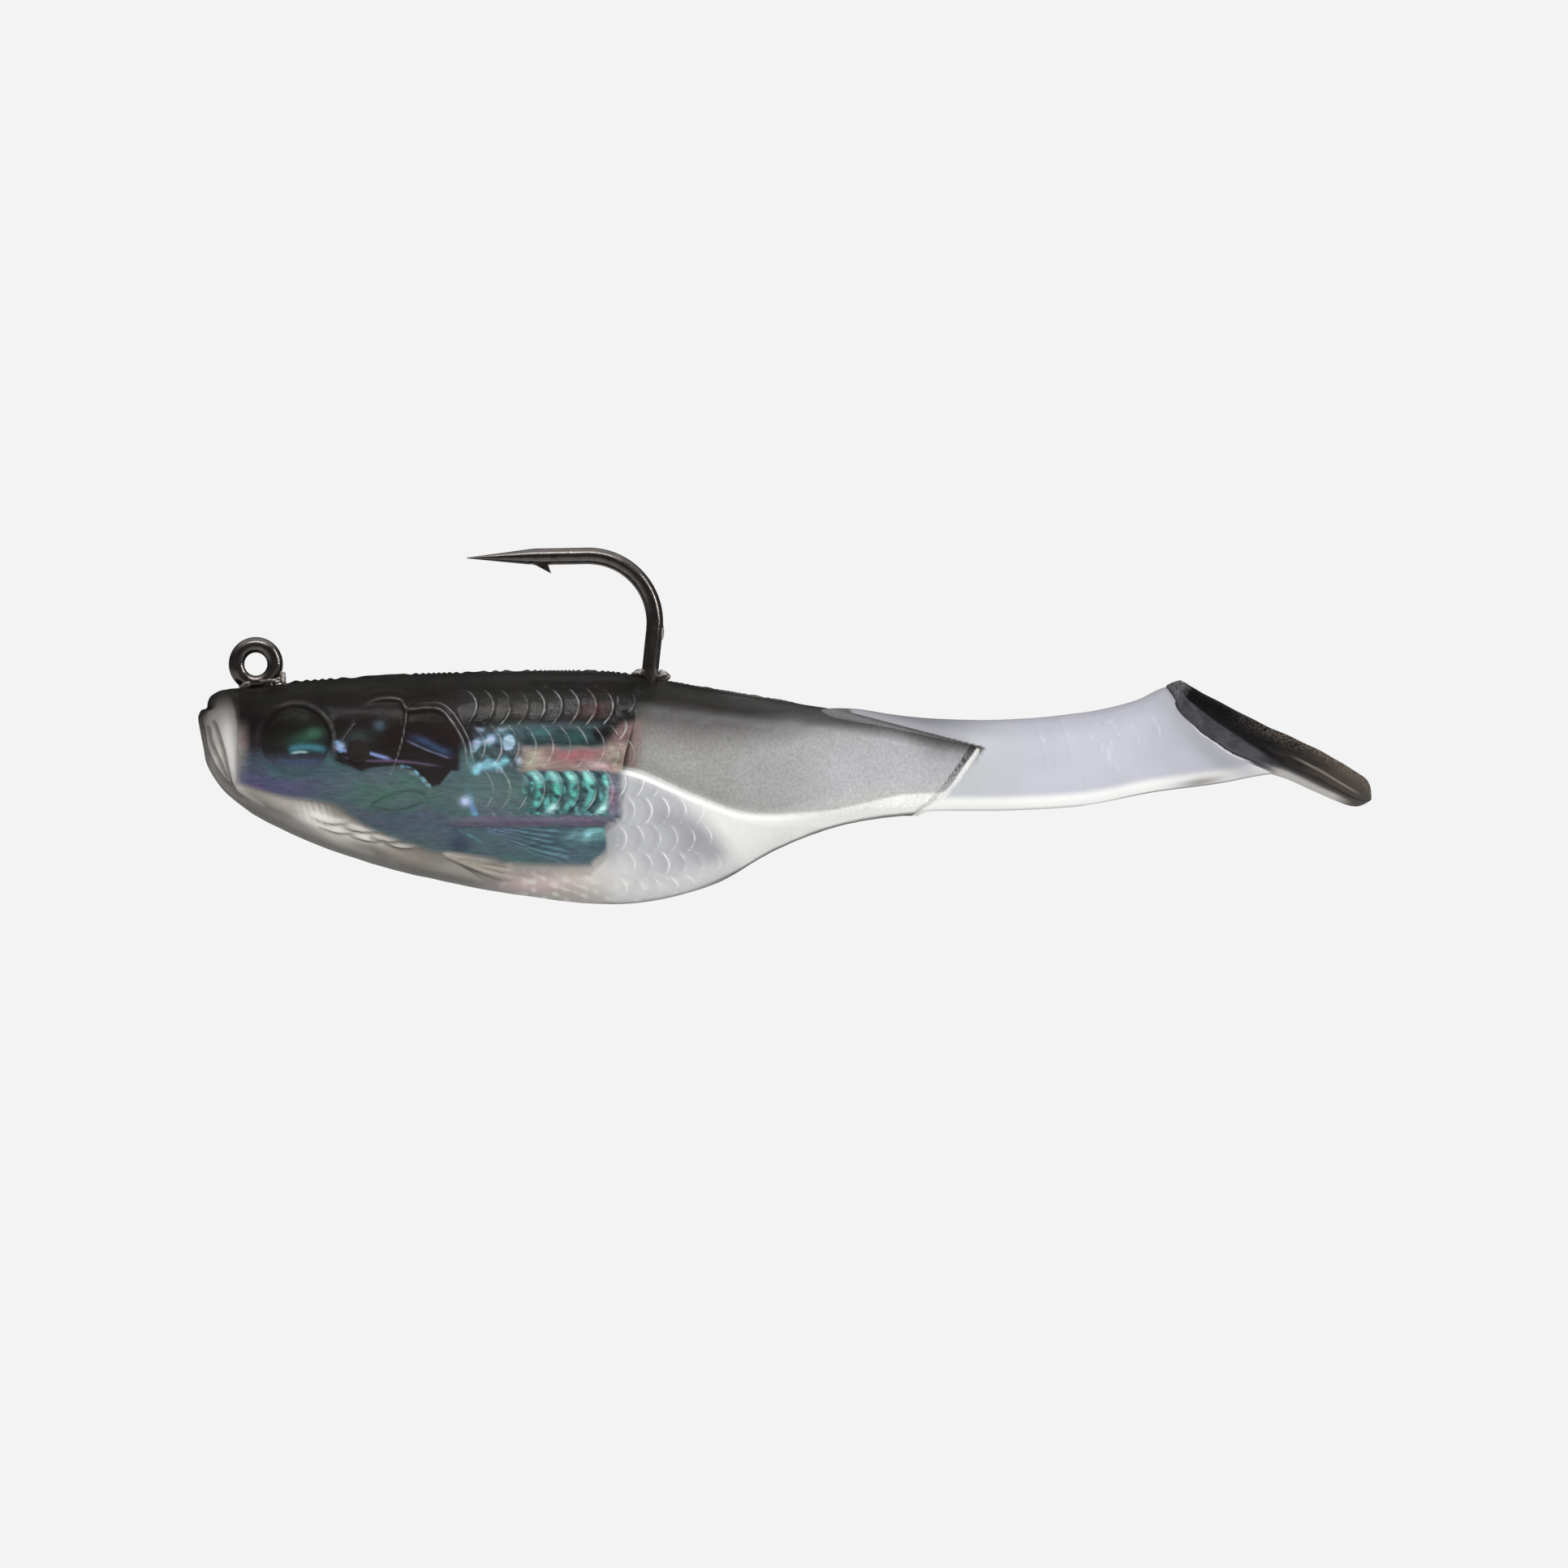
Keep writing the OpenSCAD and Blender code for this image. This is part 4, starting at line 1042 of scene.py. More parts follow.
def build_foil(side):
    """One crumpled foil film. Its colours are laid on region by region."""
    sign = SIDES[side]
    s, t = np.meshgrid(np.linspace(0, 1, 340), np.linspace(0, 1, 150), indexing="ij")
    x = FOIL_FROM + s * (film_end(t) - FOIL_FROM)
    z = along(FOIL_TOP, x) * (1 - t) + along(FOIL_LOW, x) * t
    y = body_half_at(x, z) * FOIL_DEPTH

    wrinkle = ripples(x, z * 1.4, 3.4, 11) * 0.5 + ripples(x, z, 1.3, 12) * 0.3
    v = (z - LATERAL_Z) * SCALE_ROW / 3.85
    cell, place, number, row = scale_cells(x, v)
    height, rim = scale_field(x, v)
    chance = spread(number, row)
    scaly = between(x, 23.0, 24.0, 30.3, 30.9) * between(z, -13.1, -12.8, -9.45, -9.15)
    y += 0.1 * wrinkle * (0.4 + smooth(17, 24, x)) + 0.3 * scaly * (height - 0.5)
    y += 0.12 * scaly * ripples(x, z, 1.0, 13)
    y += 0.16 * bell(z + 13.5, 0.28) * smooth(15, 18, x)
    y += 0.1 * smooth(30.0, 31.2, x) * ripples(x, z, 1.1, 14)
    crease, _, _ = to_curve(x, z, [[6.9, -8.2], [9.3, -9.0], [12.3, -8.8], [15.6, -10.5], [17.4, -9.2]])
    y += 0.1 * bell(crease, 0.25)
    crumple = between(x, 18.3, 19.6, 22.6, 23.6) * between(z, -9.6, -8.8, -6.2, -5.4)
    y += 0.25 * crumple * ripples(x, z, 1.3, 18)

    c = Painter(x, z, (82, 96, 98))
    drift = ripples(x, z, 4.0, 15)
    c.lay(smooth(-0.2, 0.9, drift), (76, 104, 96), 0.4)
    c.lay(smooth(-0.2, 0.9, -drift), (88, 90, 108), 0.3)
    paint_foil_head(c)
    paint_foil_middle(c, crumple)
    paint_emerald(c, scaly, (cell, place, chance), rim)
    paint_foil_low(c)
    grey = c.paint.mean(-1, keepdims=True)
    c.paint = np.clip((grey + 1.1 * (c.paint - grey)) * (1 + 0.1 * smooth(0.018, 0.07, grey)), 0.002, 1)
    p = np.stack([x, sign * y, z], -1)
    obj = make_mesh(side + "_foil_film", p.reshape(-1, 3), grid_faces(*x.shape, closed=False),
                    {"paint": c.paint.reshape(-1, 3)})
    film = obj.modifiers.new("film", "SOLIDIFY")
    film.thickness = FILM_THICKNESS * MM
    film.offset = 0
    return obj


def foil_material():
    s = Shade("iridescent_foil")
    rest = s.rest()
    paint = s.colour("paint")
    brush = s.noise(s.rest((0.6, 1.0, 3.2)), 1.6, 4.0, 0.6)
    fine = s.noise(rest, 7.0, 4.0, 0.6)
    shift = s.noise(s.rest((0.5, 1, 1.1)), 0.7, 3.0, 0.5, 0.6)
    warm = s.mix(s.span(shift, 0.35, 0.65), (0.86, 1.08, 1.06), (1.1, 0.96, 1.14))
    colour = s.mix(0.8, paint, warm, "MULTIPLY")
    light = s.span(brush, 0.25, 0.75, 0.72, 1.3)
    colour = s.tinted(colour, light)
    normal = s.bump(brush, 0.0001, 0.6)
    normal = s.bump(fine, 0.000012, 0.5, normal)
    rough = s.span(fine, 0.3, 0.7, 0.32, 0.5)
    return s.done(s.surface(Base_Color=colour, Metallic=0.25, Roughness=rough, Normal=normal,
                            Specular_IOR_Level=0.1))


# ---- the pearl core, web and paddle ---------------------------------------------------------------------

CORE_FROM = 32.1      # the core's front end, inside the clear casting
CORE_SPLIT = 50.0     # where its front piece ends and its rear piece starts
STEM_FROM, STEM_TO = 71.6, 89.6
CORE_END = 88.9       # the core's lines are read no further back than this
WEB_MARKS = (68.4, 70.6)
WEB_SCRATCHES = [[[77.0, -3.9], [77.8, -5.2], [78.6, -6.6]], [[73.1, -7.0], [74.0, -8.4], [74.9, -9.6]],
                 [[72.4, -6.2], [73.6, -7.6], [74.2, -8.6]], [[67.6, -6.3], [68.3, -6.7]],
                 [[75.6, -5.6], [76.6, -6.6], [77.1, -7.6]]]


def paint_web(x, z):
    """The bare pearl behind the slanted edge: painted shade along its top, painted light along its lower
    edge.
    """
    w = Painter(x, z, (197, 198, 208))
    w.lay(fall(62, 68, x), (196, 199, 202), 0.9)
    lift, depth = z - along(CORE_LOW, x), along(CORE_TOP, x) - z
    # painted shade along the top
    w.lay(fall(0.0, 2.4, depth), (168, 168, 178), 0.85)
    w.lay(bell(depth, 0.5), (150, 149, 158), 0.6)
    w.lay(fall(0.2, 2.0, depth) * fall(57, 66, x), (108, 108, 114), 0.9)
    # painted light along the lower edge, then a painted dark outline at the very edge near the paddle and
    # painted shade under the paddle
    w.lay(fall(0.7, 1.5, lift), (255, 254, 252), 0.97)
    w.lay(fall(0.0, 0.22, lift), (206, 205, 204), 0.8)
    w.lay(fall(0.0, 0.16, lift) * smooth(73, 77, x), (92, 88, 86), 0.85)
    w.dab(81.6, -10.2, 2.2, 0.4, (132, 128, 126), 0.75, turn=10)
    for mx in WEB_MARKS:
        w.lay(bell(web_mark(x, z, mx), 0.12) * bell(z - mid_of(x) - 1.4, 2.0), (218, 218, 226), 0.16)
    for line in WEB_SCRATCHES:
        w.draw(line, 0.055, (234, 234, 240), 0.5, fade=0.4)
    scratch = np.abs(ripples(x, z, 2.2, 34))
    w.lay(bell(scratch, 0.03) * bell(x - 74, 3.5) * bell(z + 6.5, 1.8), (226, 226, 232), 0.5)
    return w


def mid_of(x):
    return 0.5 * (along(CORE_LOW, x) + along(CORE_TOP, x))


def web_mark(x, z, at):
    """Distance to one of the slanting cold-flow marks that cross the web."""
    return (x - at) + 0.25 * (z + 8.5)


def build_core(name, x0, x1, round_start=False):
    """A stretch of the pearl core. Inside the clear casting it shows as a frosted panel, shaded by what it
    stands behind."""
    step, cols = 0.12, 180
    xs = np.linspace(x0, x1, int((x1 - x0) / step) + 1)
    p = core_at(np.repeat(xs[:, None], cols, 1), ring_angles(cols))
    n = outward_normals(p)
    x, y, z = p[..., 0], p[..., 1], p[..., 2]
    h = 0.02 * waves(x, np.abs(y), z, 6.0, 31) + 0.006 * waves(x, y, z, 1.7, 32)
    mid = mid_of(x)
    for mx in WEB_MARKS:
        h += 0.04 * bell(web_mark(x, z, mx), 0.16) * bell(z - mid - 1.2, 2.2)
    h += 0.05 * bell(np.abs(y), 0.12) * ((z - mid) < 0) * smooth(58, 62, x)
    p = p + n * h[..., None]
    if round_start:
        first, centre = p[0], p[0].mean(0)
        rings = []
        for v in np.linspace(1, 0, 9)[:-1]:
            r = max(math.sqrt(1 - v * v), 0.04)
            ring = centre + (first - centre) * [1, r, 0.55 + 0.45 * r]
            ring[:, 0] = first[:, 0] - 0.8 * v
            rings.append(ring)
        p = np.concatenate([np.stack(rings), p])
        # the top of the front edge leans back
        p[..., 0] += 0.16 * (p[..., 2] + 9.0) * fall(x0, x0 + 3, p[..., 0])
    x, z = p[..., 0], p[..., 2]
    inside = 1 - smooth(-0.15, 0.15, x - chevron_x(z))
    upper, _, _ = to_curve(x, z, [[45, -2.9], [48, -3.45], [51.5, -4.2], [57.3, -5.74], [63.07, -7.28]])

    c = Painter(x, z, (164, 163, 161))
    c.lay(smooth(38, 58, x), (191, 191, 195))
    # shade of the pigmented back
    depth = along(BACK, x) - z
    shade = 1 - smooth(0.25, 1.0, depth / np.interp(x, [33, 39, 44.5, 50, 56], [7.2, 6.4, 4.8, 2.8, 1.8]))
    c.lay(shade * fall(42, 56, x), (52, 49, 48), 0.97)
    c.lay(shade * smooth(42, 56, x), (112, 110, 112), 0.8)
    # a painted highlight: the lens-like bright line along the lower edge, broad towards the rear
    lift = z - along(CORE_LOW, x)
    wide = 0.9 + 1.2 * smooth(44, 54, x)
    c.lay(fall(0.3 * wide, 1.5 * wide, lift), (206, 205, 200), 0.8)
    c.lay(fall(0.35, 0.75, lift), (255, 255, 251), 0.95)
    band = np.interp(x, [46, 48.3, 52, 55.9, 59.5], [-13.2, -12.9, -12.1, -11.2, -11.0])
    c.lay(fall(-0.12, 0.16, z - band), (255, 255, 250), 0.98 * smooth(46, 48, x))
    # painted shade on the core's top under the dark back, and along the upper line of the slanted edge
    c.lay(between(x, 46.0, 48.0, 53.5, 56) * smooth(-5.9, -4.8, z), (88, 86, 87), 0.85)
    c.lay(bell(upper, 0.55) * inside * smooth(46, 50, x), (120, 118, 120), 0.8)
    c.lay(bell(upper, 0.24) * inside * smooth(49, 52, x), (62, 60, 62), 0.85)
    if round_start:
        into = x - x0 - 0.16 * (z + 9)
        c.lay(fall(0.2, 1.5, into) * fall(-5.4, -4.4, z), (138, 116, 111), 0.85)
        # the painted shadow of the hook's shank, then the painted highlight along the lower edge
        c.draw(SHANK_SHADOW, 0.75, (34, 32, 30), 0.95, fade=0.05)
        c.lay(fall(0.35, 0.75, lift), (255, 255, 251), 0.8)
    inner = c.paint
    w = paint_web(x, z)
    # painted shade along the slanted edge's upper line, outside the casting
    w.lay(bell(upper, 0.7) * fall(60, 63, x), (160, 159, 166), 0.7)
    paint = inner * inside[..., None] + w.paint * (1 - inside[..., None])
    return make_mesh(name, p.reshape(-1, 3), grid_faces(p.shape[0], cols, True, round_start, False),
                     {"inside": inside.ravel(), "paint": paint.reshape(-1, 3)})


def pearl_material():
    s = Shade("pearl_plastisol")
    rest = s.rest()
    inside = s.value("inside")
    cloud = s.span(s.noise(rest, 0.28, 4.0, 0.5), 0.3, 0.7, 0.965, 1.035)
    frost = s.noise(rest, 4.2, 6.0, 0.8)
    speck = s.span(frost, 0.35, 0.65, 0.8, 1.2)
    level = s.mul(cloud, s.add(1.0, s.mul(inside, s.sub(speck, 1.0))))
    colour = s.tinted(s.colour("paint"), level)
    fine = s.noise(rest, 9.0, 4.0, 0.6)
    normal = s.bump(s.noise(rest, 1.2, 4.0, 0.6), 0.00008, 0.4)
    normal = s.bump(fine, 0.00002, 0.5, normal)
    rough = s.span(fine, 0.3, 0.7, 0.34, 0.5)
    return s.done(s.surface(Base_Color=colour, Roughness=rough, IOR=1.42, Specular_IOR_Level=0.3,
                            Normal=normal))


def paddle_frame(p):
    """Points in the paddle's own frame (along, across, out of its plane), placed in the CAD frame."""
    c, s = math.cos(PADDLE_SLOPE), math.sin(PADDLE_SLOPE)
    u, v, w = p[..., 0], p[..., 1], p[..., 2]
    return np.stack([PADDLE_AT[0] + u * c + w * s, v, PADDLE_AT[1] - u * s + w * c], -1)


def build_paddle():
    """The dished paddle, with its skirt, its rough top and the pitted lump at its root."""
    rows, cols = 190, 160
    u = (1 - np.cos(np.linspace(0, np.pi, rows))) / 2
    a = ring_angles(cols)
    uu = np.repeat(u[:, None], cols, 1)
    p = section(uu * PADDLE_LENGTH, a, along(DISH_LOW, uu), along(DISH_TOP, uu),
                PADDLE_WIDTH / 2 * along(DISH_HALF, uu), 0.5, 0.75, 0.75, PADDLE_CURL * along(DISH_CURL, uu))
    n = outward_normals(p)
    s = np.sin(a) * np.ones_like(uu)
    c = np.cos(a) * np.ones_like(uu)
    under = s < 0
    # a skirt runs round the underside, a step above the edge
    h = 0.06 * waves(p[..., 0], np.abs(p[..., 1]), p[..., 2], 4.0, 41) * smooth(0.15, 0.5, np.abs(c))
    h += 0.22 * under * bell(np.abs(c) - 0.62, 0.1) * between(uu, 0.03, 0.1, 0.6, 0.72)
    h -= 0.12 * under * bell(np.abs(c) - 0.78, 0.06) * between(uu, 0.03, 0.1, 0.6, 0.8)
    # rough top where the mould was gated, and the lump with pits at the root
    lump = bell(uu - 0.035, 0.03) * smooth(-0.2, 0.6, s)
    h += lump * (0.24 + 0.09 * waves(p[..., 0], p[..., 1], p[..., 2], 1.1, 42))
    h += 0.03 * waves(p[..., 0], p[..., 1], p[..., 2], 0.9, 43) * smooth(0.2, 0.9, s) * smooth(0.2, 0.35, uu)
    h *= between(uu, 0, 0.02, 0.985, 1)
    p = paddle_frame(p + n * h[..., None])
    x, y, z = p[..., 0], p[..., 1], p[..., 2]
    top, low = along(CORE_TOP, x), along(CORE_LOW, x)
    share = np.clip((2 * z - top - low) / (top - low), -1, 1)
    beside = np.abs(y) - web_width / 2 * along(CORE_HALF, x) * (1 - share ** 4) ** 0.25 - 0.35
    return make_mesh("kicker_paddle", p.reshape(-1, 3), grid_faces(rows, cols, True, True, True),
                     {"way": uu.ravel(), "turn": s.ravel(), "beside": np.clip(beside, -3, 5).ravel()})


def paddle_material():
    s = Shade("smoke_plastisol")
    rest = s.rest()
    way, turn, beside = s.value("way"), s.value("turn"), s.value("beside")
    streak = s.noise(s.rest((0.35, 1.0, 0.9)), 1.1, 4.0, 0.6)
    grit = s.noise(rest, 6.5, 5.0, 0.7)
    far = s.add(way, s.span(streak, 0.2, 0.8, -0.13, 0.13))
    smoke = s.mix(s.ease(far, 0.45, 0.9), tone(15, 14, 17), tone(76, 68, 61))
    smoke = s.mix(s.ease(way, 0.9, 0.98, 0.0, 0.8), smoke, tone(72, 68, 66))
    grey = s.mix(s.span(streak, 0.3, 0.7), tone(56, 56, 62), tone(92, 92, 99))
    # painted light: the grey band along the stem is broad at the root and runs out past the stem
    bound = s.span(way, 0.15, 0.6, -0.42, -0.78)
    under = s.ease(s.sub(turn, bound), -0.04, 0.04, 1.0, 0.0)
    colour = s.mix(s.mul(under, s.ease(way, 0.55, 0.75, 1.0, 0.0)), smoke, grey)
    keel = s.mul(s.ease(turn, -0.93, -0.84, 1.0, 0.0), s.ease(way, 0.5, 0.62))
    keel = s.mul(keel, s.ease(way, 0.84, 0.95, 1.0, 0.0))
    colour = s.mix(keel, colour, tone(196, 193, 188))
    groove = s.mul(s.ease(s.away(turn, -0.78), 0.0, 0.05, 1.0, 0.0), s.span(way, 0.45, 0.6, 0.0, 0.85))
    colour = s.mix(groove, colour, tone(30, 27, 26))
    below = s.span(turn, -0.4, -0.3, 1.0, 0.0)
    # painted shade: a dark line on the underside just beyond where the web meets it
    lip = s.ease(s.away(beside, s.span(way, 0.12, 0.2, 0.15, 0.66)), 0.12, 0.32, 1.0, 0.0)
    lip = s.mul(s.mul(lip, below), s.span(way, 0.5, 0.6, 0.9, 0.0))
    colour = s.mix(lip, colour, tone(24, 23, 25))
    # a painted highlight: a bright line where the web runs up against the underside, uneven in width
    reach = s.span(s.noise(rest, 1.3, 3.0), 0.3, 0.7, 0.24, 0.52)
    fillet = s.mul(s.span(s.sub(beside, reach), -0.05, 0.08, 1.0, 0.0), below)
    fillet = s.mul(fillet, s.span(s.away(way, 0.31), 0.12, 0.18, 1.0, 0.0))
    colour = s.mix(fillet, colour, tone(240, 240, 243))
    speck = s.span(grit, 0.56, 0.74, 0.0, 0.4)
    colour = s.mix(speck, colour, tone(84, 80, 79))
    # rubbed and gritty along the edge, grey and pitted at the root, and a painted highlight on one ridge near
    # the tip
    rub = s.mul(s.span(turn, -0.45, -0.1), s.span(way, 0.28, 0.5))
    rub = s.mul(rub, s.span(grit, 0.44, 0.58, 0.0, 0.6))
    colour = s.mix(rub, colour, tone(128, 117, 106))
    root = s.mul(s.span(way, 0.05, 0.1, 1.0, 0.0), s.span(grit, 0.4, 0.55, 0.1, 0.85))
    colour = s.mix(root, colour, tone(122, 121, 124))
    ridge = s.ease(s.away(turn, -0.6), 0.0, 0.05, 1.0, 0.0)
    ridge = s.mul(ridge, s.mul(s.span(way, 0.6, 0.68), s.span(way, 0.9, 0.95, 0.7, 0.0)))
    colour = s.mix(ridge, colour, tone(158, 148, 136))
    normal = s.bump(streak, 0.0001, 0.4)
    normal = s.bump(grit, 0.00006, 0.6, normal)
    rough = s.span(grit, 0.3, 0.7, 0.36, 0.56)
    return s.done(s.surface(Base_Color=colour, Roughness=rough, IOR=1.42, Specular_IOR_Level=0.2,
                            Normal=normal))


def build_root():
    """The web's end under the paddle, spread into a fillet where it meets the paddle."""
    rows, cols = 110, 120
    xx = np.repeat(np.linspace(STEM_FROM, STEM_TO, rows)[:, None], cols, 1)
    p = core_at(np.minimum(xx, CORE_END), ring_angles(cols))
    p[..., 0] = xx
    # everything above the paddle's underside is folded down onto it
    c, s = math.cos(PADDLE_SLOPE), math.sin(PADDLE_SLOPE)
    dx, dz = p[..., 0] - PADDLE_AT[0], p[..., 2] - PADDLE_AT[1]
    u = (dx * c - dz * s) / PADDLE_LENGTH
    w = dx * s + dz * c
    uu = np.clip(u, 0, 1)
    aside = np.clip(p[..., 1] / (PADDLE_WIDTH / 2 * along(DISH_HALF, uu) + 0.01), -1, 1)
    underside = along(DISH_LOW, uu) + PADDLE_CURL * along(DISH_CURL, uu) * aside ** 2
    ceiling = np.where(u > 0, underside + 0.12, 50)
    over = np.maximum(w - ceiling, 0)
    p[..., 0] -= over * s
    p[..., 2] -= over * c
    gap = np.clip(ceiling - w, 0, 4)
    flare = np.where(u > 0, 0.5 * np.exp(-(gap / 0.3)), 0)
    p[..., 1] += np.sign(p[..., 1]) * flare * smooth(0, 0.6, np.abs(p[..., 1]))
    painter = paint_web(p[..., 0], p[..., 2])
    # painted shade on the stem just under the paddle
    painter.lay(bell(gap - 0.9, 0.8) * (u > 0), (182, 182, 190), 0.6)
    return make_mesh("paddle_stem", p.reshape(-1, 3), grid_faces(rows, cols, True, False, True),
                     {"inside": np.zeros(rows * cols), "paint": painter.paint.reshape(-1, 3)})


# ---- hook, jig head, eyes -------------------------------------------------------------------------------

def nickel_material():
    s = Shade("black_nickel")
    where = s.local()
    streak = s.noise(s.local((0.5, 2.0, 0.5)), 2.2, 3.0)
    fine = s.noise(where, 11.0, 4.0, 0.6)
    colour = s.mix(s.span(streak, 0.3, 0.7), tone(110, 106, 104), tone(140, 134, 130))
    wear = s.span(s.noise(where, 1.4, 4.0, 0.65), 0.62, 0.75, 0.0, 0.5)
    colour = s.mix(wear, colour, tone(168, 152, 142))
    rough = s.span(fine, 0.3, 0.7, 0.14, 0.26)
    normal = s.bump(fine, 0.00001, 0.5)
    normal = s.bump(s.noise(where, 2.2, 3.0), 0.00003, 0.5, normal)
    return s.done(s.surface(Base_Color=colour, Metallic=1.0, Roughness=rough, Normal=normal))


def lead_material():
    s = Shade("cast_lead")
    where = s.local()
    blotch = s.noise(where, 0.8, 5.0, 0.6)
    pits = s.cells(where, 2.4)
    colour = s.mix(s.span(blotch, 0.3, 0.7), tone(32, 27, 26), tone(48, 42, 40))
    normal = s.bump(pits, 0.0001, 0.4)
    normal = s.bump(s.noise(where, 6.0, 4.0), 0.00004, 0.5, normal)
    rough = s.span(blotch, 0.3, 0.7, 0.45, 0.65)
    return s.done(s.surface(Base_Color=colour, Metallic=0.2, Roughness=rough, Normal=normal,
                            Specular_IOR_Level=0.15))


def build_eye(side):
    """A thin printed eye under the skin: a domed disc with a shallow pupil well, closed behind."""
    sign = SIDES[side]
    rings, cols = 40, 110
    r = np.linspace(0.02, 1, rings) ** 0.9
    a = np.linspace(0, 2 * np.pi, cols, endpoint=False)
    rr, aa = np.meshgrid(r, a, indexing="ij")
    dome = 0.42 * (1 - rr ** 2) - 0.12 - 0.04 * fall(0.25, 0.5, rr)
    x = EYE[0] + EYE_DISC * rr * np.cos(aa)
    z = EYE[1] + EYE_DISC * rr * np.sin(aa)
    y = body_half_at(x, z) * FOIL_DEPTH + 0.14 + dome
    front = np.stack([x, y, z], -1)
    behind = front[-1] - [0, 0.5, 0]
    inner = behind.mean(0) + (behind - behind.mean(0)) * 0.05
    p = np.concatenate([front, behind[None], inner[None]])
    p[..., 1] *= sign
    c = Painter(p[..., 0], p[..., 2], (25, 23, 20))
    c.lay(fall(-8.9, -7.3, c.z), (72, 80, 98), 0.95)
    c.dab(3.4, -9.2, 1.8, 0.5, (66, 98, 98), 0.8)
    # painted highlights: green and teal glints and one pale streak across the dark eye
    c.dab(4.5, -6.3, 1.5, 0.55, (46, 86, 70), 0.9, turn=14)
    c.dab(5.2, -6.0, 0.6, 0.4, (70, 122, 96), 0.8)
    c.draw([[2.8, -7.6], [3.8, -7.2], [5.0, -7.2], [6.6, -7.5]], 0.3, (66, 122, 136), 0.95, fade=0.2)
    c.draw([[3.0, -7.75], [4.0, -7.6], [4.8, -7.65]], 0.09, (168, 206, 210), 0.85, fade=0.3)
    c.draw([[2.0, -8.2], [3.6, -8.5], [6.0, -8.3]], 0.16, (62, 78, 116), 0.7, fade=0.2)
    c.draw([[1.2, -5.6], [2.0, -4.9], [3.2, -4.6]], 0.2, (40, 38, 31), 0.8, fade=0.3)
    return make_mesh(side + "_eye_disc", p.reshape(-1, 3), grid_faces(rings + 2, cols, True, True, True),
                     {"paint": c.paint.reshape(-1, 3)})


def eye_material():
    s = Shade("printed_eye")
    rays = s.noise(s.rest(), 2.6, 4.0, 0.6)
    level = s.span(rays, 0.3, 0.7, 0.85, 1.15)
    colour = s.tinted(s.colour("paint"), level)
    normal = s.bump(rays, 0.000015, 0.4)
    return s.done(s.surface(Base_Color=colour, Metallic=0.1, Roughness=s.span(rays, 0.3, 0.7, 0.34, 0.46),
                            Specular_IOR_Level=0.2, Normal=normal))


def blob(name, centre, size, seed):
    """A lumpy bead of spilt plastisol."""
    rows, cols = 20, 24
    u, a = np.meshgrid(np.linspace(0, np.pi, rows + 2)[1:-1], np.linspace(0, 2 * np.pi, cols, endpoint=False),
                       indexing="ij")
    d = np.stack([np.sin(u) * np.cos(a), np.sin(u) * np.sin(a), np.cos(u)], -1)
    lumps = 1 + 0.3 * waves(*np.moveaxis(d, -1, 0), 2.2, seed)
    lumps += 0.1 * waves(*np.moveaxis(d, -1, 0), 0.8, seed + 1)
    p = np.array(centre) + d * lumps[..., None] * np.array(size)
    return make_mesh(name, p.reshape(-1, 3), grid_faces(rows, cols, True, True, True))


def flash_material():
    s = Shade("spilt_plastisol")
    rest = s.rest()
    n = s.noise(rest, 3.0, 4.0, 0.6)
    colour = s.mix(s.span(n, 0.35, 0.65), tone(150, 142, 134), tone(214, 208, 200))
    bead = s.surface(Base_Color=colour, Roughness=s.span(n, 0.3, 0.7, 0.06, 0.2), IOR=1.4,
                     Transmission_Weight=0.9, Normal=s.bump(n, 0.00008, 0.5))
    return s.done(s.lets_light_in(bead, (0.9, 0.9, 0.9)))


# ---- put together ---------------------------------------------------------------------------------------

def wear(piece, material):
    piece.data.materials.clear()
    piece.data.materials.append(material)


skin = build_skin()
wear(skin, skin_material())
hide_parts("front_body", "rear_body")
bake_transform(skin)

foil_mat = foil_material()
eye_mat = eye_material()
for side in SIDES:
    film = build_foil(side)
    wear(film, foil_mat)
    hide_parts(side + "_foil")
    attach(film, "head_section")
    eye = build_eye(side)
    wear(eye, eye_mat)
    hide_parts(side + "_eye")
    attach(eye, "head_section")

pearl = pearl_material()
core_front = build_core("core_front", CORE_FROM, CORE_SPLIT, round_start=True)
wear(core_front, pearl)
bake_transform(core_front)
core_rear = build_core("core_rear", CORE_SPLIT, STEM_FROM)
wear(core_rear, pearl)
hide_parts("tail_core", "tail_web")
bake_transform(core_rear)
root = build_root()
wear(root, pearl)
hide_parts("paddle_root")
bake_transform(root)

paddle = build_paddle()
wear(paddle, paddle_material())
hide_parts("paddle")
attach(paddle, "paddle_section")

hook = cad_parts["hook"]
wear(hook, nickel_material())
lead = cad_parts["head_weight"]
wear(lead, lead_material())

flash = flash_material()
beads = [
    ("eye_spill_front", (-0.75, -0.1, -1.75), (0.75, 0.9, 0.32), 51),
    ("eye_spill_back", (1.4, 0.1, -1.45), (1.0, 1.0, 0.35), 53),
    ("eye_spill_nib", (2.35, -0.1, -1.25), (0.3, 0.3, 0.55), 55),
    ("hook_bubble", (35.2, -0.2, -1.0), (0.55, 0.6, 0.42), 57),
    ("hook_spill", (33.2, 0.0, -0.75), (0.6, 0.8, 0.3), 59),
    ("bend_spill_high", (32.3, -0.1, 8.45), (0.32, 0.25, 0.13), 61),
    ("bend_spill_top", (33.85, -0.1, 7.0), (0.2, 0.25, 0.42), 65),
    ("bend_spill_side", (35.1, 0.0, 2.8), (0.13, 0.3, 0.8), 63),
]
for name, centre, size, seed in beads:
    bead = blob(name, centre, size, seed)
    wear(bead, flash)
    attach(bead, "head_section")


# ---- stage, light and camera ----------------------------------------------------------------------------

